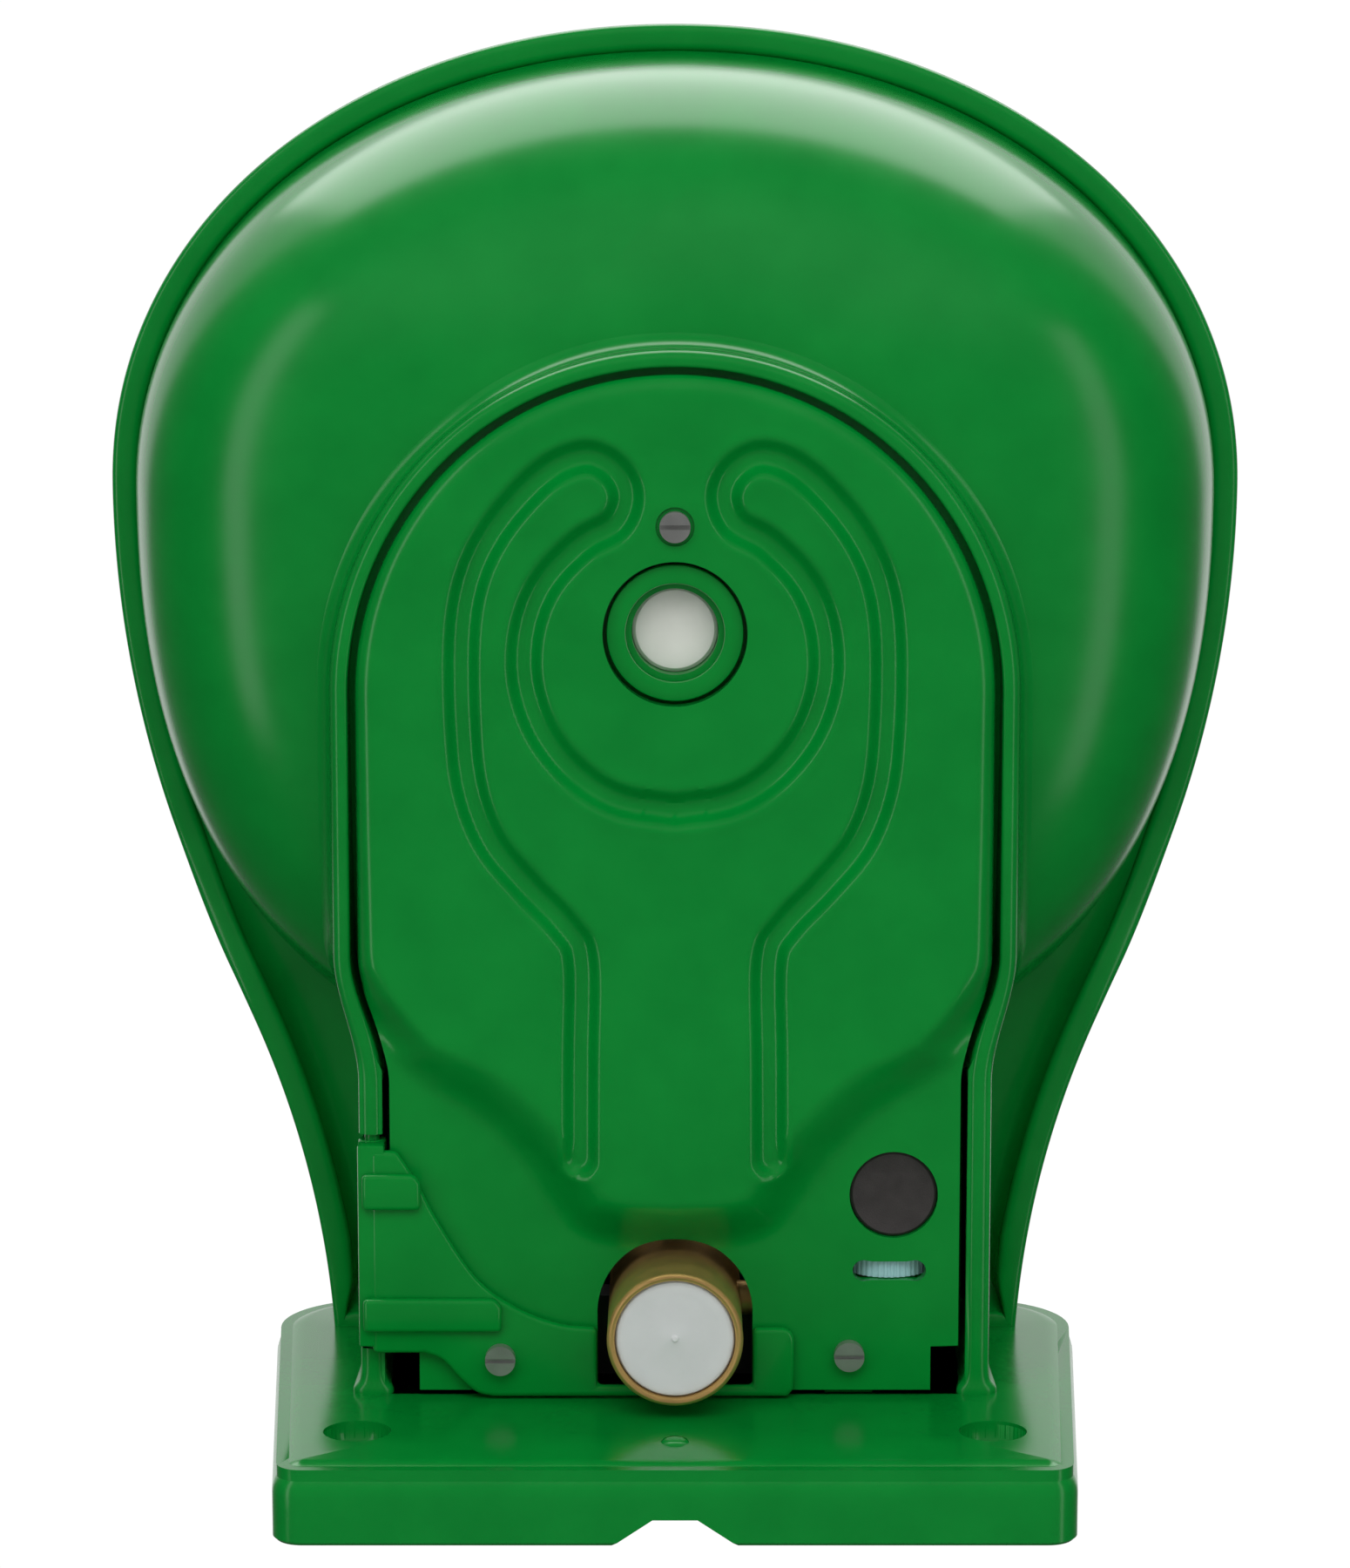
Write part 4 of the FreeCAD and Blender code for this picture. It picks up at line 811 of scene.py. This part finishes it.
class DBOWL_OT_cover(PieceOperator, bpy.types.Operator):
    """Builds the cover under the bowl with its sloping pan, its pressed channel and its holes"""
    bl_idname = "dbowl.cover"
    bl_label = "Cover"

    def execute(self, context):
        grid = cover_grid(context.scene.drinking_bowl_sizes)
        piece = surface("cover_panel", grid, "housing", replaced=("bottom_cover",))
        through = (-40, 20)
        screw_x, screw_y = SCREW
        tools = [rod(*DRAIN, *through, 16.4, steps=96), rod(0, -220.8, -40, -16.2, 4.4),
                 rod(50.5, -66, *through, 10.2, steps=96), rod(screw_x, screw_y, *through, 2.3),
                 rod(-screw_x, screw_y, *through, 2.6)]
        cut(piece, tools)
        pipe_y, room = -38, 18      # the pipe's hole is open towards the wall
        cut(piece, [rod(0, pipe_y, *through, room, steps=96)])
        cut(piece, [block((-room, pipe_y, -40), (room, 0, 20))])
        # the wheel's slot, with round ends that are wider than it
        turn = np.linspace(0, math.pi, 14)
        right = np.stack([55.6 + 2.5 * np.sin(turn), -48 - 2.5 * np.cos(turn)], -1)
        left = np.stack([43.6 - 2.5 * np.sin(turn), -48 + 2.5 * np.cos(turn)], -1)
        slot = np.concatenate([right, [(53.5, -45.8), (45.7, -45.8)], left,
                               [(45.7, -50.2), (53.5, -50.2)]])
        cut(piece, [prism(slot, *through)])
        shade(piece)
        wear(piece, self.green())
        return {"FINISHED"}


class DBOWL_OT_flap(PieceOperator, bpy.types.Operator):
    """Builds the flap under the pipe with its ribs and its hinge knuckle"""
    bl_idname = "dbowl.flap"
    bl_label = "Pipe flap"

    def execute(self, context):
        edge = rounded_line([(-64, -77), (-59, -69), (-55, -61), (-46, -47), (-37, -40), (-27, -36),
                             (-18, -35)], 6)
        turn = np.linspace(0, math.pi / 2, 5)
        corner = np.stack([27.7 - 3 * (1 - np.sin(turn)), -35 + 3 * (1 - np.cos(turn))], -1)
        low = rounded_line([(-42, -18.6), (-46, -19.6), (-50, -23), (-54, -27.4), (-58, -29)], 5)
        line = np.concatenate([edge, [(-18, -21.2), (18, -21.2), (18, -35)], corner,
                               [(27.7, -20.6), (26, -18.6)], low, [(-70, -29), (-70, -77)]])
        solids = [prism(line, -19.2, -16.2)]
        for start, end, tip in ((-72, -63.5, -58.5), (-42.5, -34.5, -40)):
            rib = [(-72, start), (tip - 1.5, start), (tip, start + 2), (tip, end), (-72, end)]
            solids.append(prism(rib, -21.3, -18.2))
        piece = mesh_piece("flap_plate", *joined(solids), "flap", replaced=("pipe_flap",))
        bevelled(piece, context.scene.drinking_bowl_sizes.flap_rounding, 3, 50)
        screw_x, screw_y = SCREW
        cut(piece, [rod(-screw_x, screw_y, -30, 0, 2.1)])
        shade(piece)
        wear(piece, self.green())
        knuckle = turned("flap_knuckle", [(0, -82.3), (1.7, -82.3), (1.8, -78.5), (3.0, -78.5),
                                          (3.2, -78.2), (3.2, -30.8), (3.0, -30.5), (1.8, -30.5),
                                          (1.8, -27.7), (0, -27.7)], HINGE, "flap", "Y", 40)
        shade(knuckle)
        wear(knuckle, self.green())
        web = mesh_piece("flap_web", *block((-73.1, -78.4, -19), (-66.9, -30.6, -12)), "flap")
        bevelled(web, 0.6 * MM, 2)
        shade(web)
        wear(web, self.green())
        return {"FINISHED"}


class DBOWL_OT_fittings(PieceOperator, bpy.types.Operator):
    """Builds the socket's cap and the cable blank, and finishes the frame's own small parts"""
    bl_idname = "dbowl.fittings"
    bl_label = "Fittings"

    def execute(self, context):
        shades = context.scene.drinking_bowl_colours
        brass = turned_metal("brass_turned", tuple(shades.brass), 0.42, PIPE)
        steel = turned_metal("stainless_steel_turned", tuple(shades.steel), 0.42, (0, -84, 58))
        sheet = rolled_metal("stainless_steel_sheet_rolled", tuple(shades.steel), 0.3)
        clear = moulded("clear_polythene_moulded", tuple(shades.cap), 0.3, ior=1.51, cloud=90.0,
                        bump=0.05, grain=900.0, spread=0.03, through=0.6)
        white = moulded("white_polypropylene_moulded", tuple(shades.white), 0.3, cloud=80.0,
                        bump=0.03, grain=1800.0, spread=0.03, through=0.3)
        black = moulded("black_polyamide_moulded", tuple(shades.black), 0.4, ior=1.53)
        rubber = moulded("black_rubber_pressed", tuple(shades.rubber), 0.62, ior=1.5, cloud=300.0,
                         bump=0.35, grain=3000.0, spread=0.12)
        acetal = moulded("blue_acetal_moulded", tuple(shades.wheel), 0.35, ior=1.48)
        cap = turned("socket_cap", [
            (0, -34.7), (0.5, -34.65), (0.9, -34.2), (1.6, -34.05), (6, -33.9), (10.6, -34.1),
            (12.3, -34.5), (13.2, -34.4), (13.6, -33.8), (13.6, -32), (11.9, -32), (11.9, -21),
            (10.3, -21), (10.3, -32.4), (0, -32.4)], PIPE, "cap",
            replaced=("thread_plug",), slot="clear_polythene")
        shade(cap)
        wear(cap, clear)
        lip = turned("socket_lip", [
            (13.75, -34.6), (13.9, -35.3), (14.3, -35.75), (14.65, -35.9), (15.0, -35.75),
            (15.4, -35.3), (15.55, -34.6)], PIPE, "housing", slot="brass")
        shade(lip)
        wear(lip, brass)
        blank = turned("cable_blank", [
            (0, -14.0), (5, -14.1), (8, -14.6), (9.4, -15.0), (10, -14.4), (10, -13), (11.5, -12.9),
            (11.5, -11.2), (11, -11), (0, -11)], (50.5, -66, 0), "housing",
            replaced=("blanking_plug",), slot="black_rubber")
        shade(blank)
        wear(blank, rubber)
        finishes = {
            "cover_screws": steel, "flap_screw": steel, "saddle_screws": steel, "valve_stem": steel,
            "valve_spring": steel, "lever_pin": steel, "lever_clips": steel, "flow_needle": steel,
            "tongue_lever": sheet, "inlet_pipe": brass, "threaded_inserts": brass,
            "valve_body": brass, "valve_cap": brass, "feed_tube": brass, "supply_tube": brass,
            "regulator_body": black, "pipe_saddle": black, "stem_guide": white, "valve_seat": white,
            "drain_plug": white, "flow_wheel": acetal, "valve_seal": rubber, "cap_seal": rubber,
            "drain_seal": rubber}
        for node, stuff in finishes.items():
            wear(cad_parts[node], stuff)
        return {"FINISHED"}


class DBOWL_OT_stage(PieceOperator, bpy.types.Operator):
    """Sets the pale floor, the soft lights and the camera"""
    bl_idname = "dbowl.stage"
    bl_label = "Stage"

    def execute(self, context):
        scene = context.scene
        points, faces = block((-4000, -4000, -2250), (4000, 4000, -2240))
        data = bpy.data.meshes.new("floor")
        data.from_pydata((np.array(points) * MM).tolist(), [], faces)
        floor = bpy.data.objects.new("floor", data)
        scene.collection.objects.link(floor)
        wear(floor, moulded("painted_floor_matt", tuple(scene.drinking_bowl_colours.floor), 0.8,
                            cloud=2.0, bump=0.01, grain=300.0, spread=0.01))
        # the floor only throws light up: the gloss stays deep and the backdrop stays white
        floor.visible_glossy = floor.visible_camera = False
        middle = Vector((0.0, -0.2, 0.02))
        lamps = {       # place in metres, width, height and watts
            "low_front_softbox": ((0.0, -1.6, -1.3), 2.4, 1.2, 20.0),
            "left_strip": ((-1.5, -0.5, -1.1), 2.2, 0.35, 4.0),
            "right_strip": ((1.5, -0.3, -1.1), 2.2, 0.35, 3.0),
            "high_front_softbox": ((0.0, -1.8, 0.75), 2.4, 1.6, 40.0)}
        for name, (spot, wide, tall, power) in lamps.items():
            light = bpy.data.lights.new(name, "AREA")
            light.shape, light.size, light.size_y, light.energy = "RECTANGLE", wide, tall, power
            lamp = bpy.data.objects.new(name, light)
            lamp.location, lamp.visible_camera = spot, False
            # the low softbox only fills, and the high one only shows in the gloss
            lamp.visible_diffuse = not name.startswith("high")
            lamp.visible_glossy = not name.startswith("low")
            lamp.rotation_euler = (middle - Vector(spot)).to_track_quat("-Z", "Y").to_euler()
            scene.collection.objects.link(lamp)
        world = bpy.data.worlds.new("studio")
        world.use_nodes = True
        tree = world.node_tree
        tree.nodes.clear()
        where = add(tree, "ShaderNodeTexCoord")
        # pale above and down to the horizon in front, dark elsewhere, so that the gloss stays deep
        toward = add(tree, "ShaderNodeVectorMath", {1: (0.0, -0.55, 0.83)},
                     {0: where.outputs["Generated"]}, operation="DOT_PRODUCT")
        levels = [(0.0, 0.06), (0.25, 0.1), (0.46, 0.2), (0.58, 1.02)]
        rise = add(tree, "ShaderNodeValToRGB", links={"Fac": toward.outputs["Value"]},
                   stops=[(position, (level, level, level, 1)) for position, level in levels])
        path = add(tree, "ShaderNodeLightPath")
        seen = add(tree, "ShaderNodeMixRGB", {"Color2": (1.02, 1.02, 1.02, 1)},
                   {"Fac": path.outputs["Is Camera Ray"], "Color1": rise.outputs["Color"]})
        back = add(tree, "ShaderNodeBackground", {"Strength": 1.0},
                   {"Color": seen.outputs["Color"]})
        add(tree, "ShaderNodeOutputWorld", links={"Surface": back.outputs["Background"]})
        scene.world = world
        scene.view_settings.view_transform = "Standard"
        camera = bpy.data.cameras.new("camera")
        camera.lens, camera.sensor_width, camera.clip_end = 100, 36, 20
        eye = bpy.data.objects.new("camera", camera)
        eye.location = (0, -0.317, -0.9942)
        eye.rotation_euler = (math.radians(171), 0, 0)
        scene.collection.objects.link(eye)
        scene.camera = eye
        return {"FINISHED"}


OPERATORS = (DBOWL_OT_shell, DBOWL_OT_skirt, DBOWL_OT_plate, DBOWL_OT_rooms, DBOWL_OT_cover,
             DBOWL_OT_flap, DBOWL_OT_fittings, DBOWL_OT_stage)


class DBOWL_PT_panel(bpy.types.Panel):
    """Lists the pieces and their sizes"""
    bl_idname = "DBOWL_PT_panel"
    bl_label = "Drinking bowl"
    bl_space_type = "VIEW_3D"
    bl_region_type = "UI"
    bl_category = "Drinking bowl"

    def draw(self, context):
        for group in (context.scene.drinking_bowl_sizes, context.scene.drinking_bowl_colours):
            for key in group.bl_rna.properties.keys():
                if key not in ("rna_type", "name"):
                    self.layout.prop(group, key)
        for operator in OPERATORS:
            self.layout.operator(operator.bl_idname)


CLASSES = (DrinkingBowlSizes, DrinkingBowlColours, *OPERATORS, DBOWL_PT_panel)


def register():
    for item in CLASSES:
        bpy.utils.register_class(item)
    bpy.types.Scene.drinking_bowl_sizes = bpy.props.PointerProperty(type=DrinkingBowlSizes)
    bpy.types.Scene.drinking_bowl_colours = bpy.props.PointerProperty(type=DrinkingBowlColours)


def unregister():
    del bpy.types.Scene.drinking_bowl_colours
    del bpy.types.Scene.drinking_bowl_sizes
    for item in reversed(CLASSES):
        bpy.utils.unregister_class(item)


def main():
    register()
    for operator in OPERATORS:
        group, name = operator.bl_idname.split(".")
        getattr(getattr(bpy.ops, group), name)()
    bpy.context.view_layer.update()


if __name__ == "__main__":
    main()
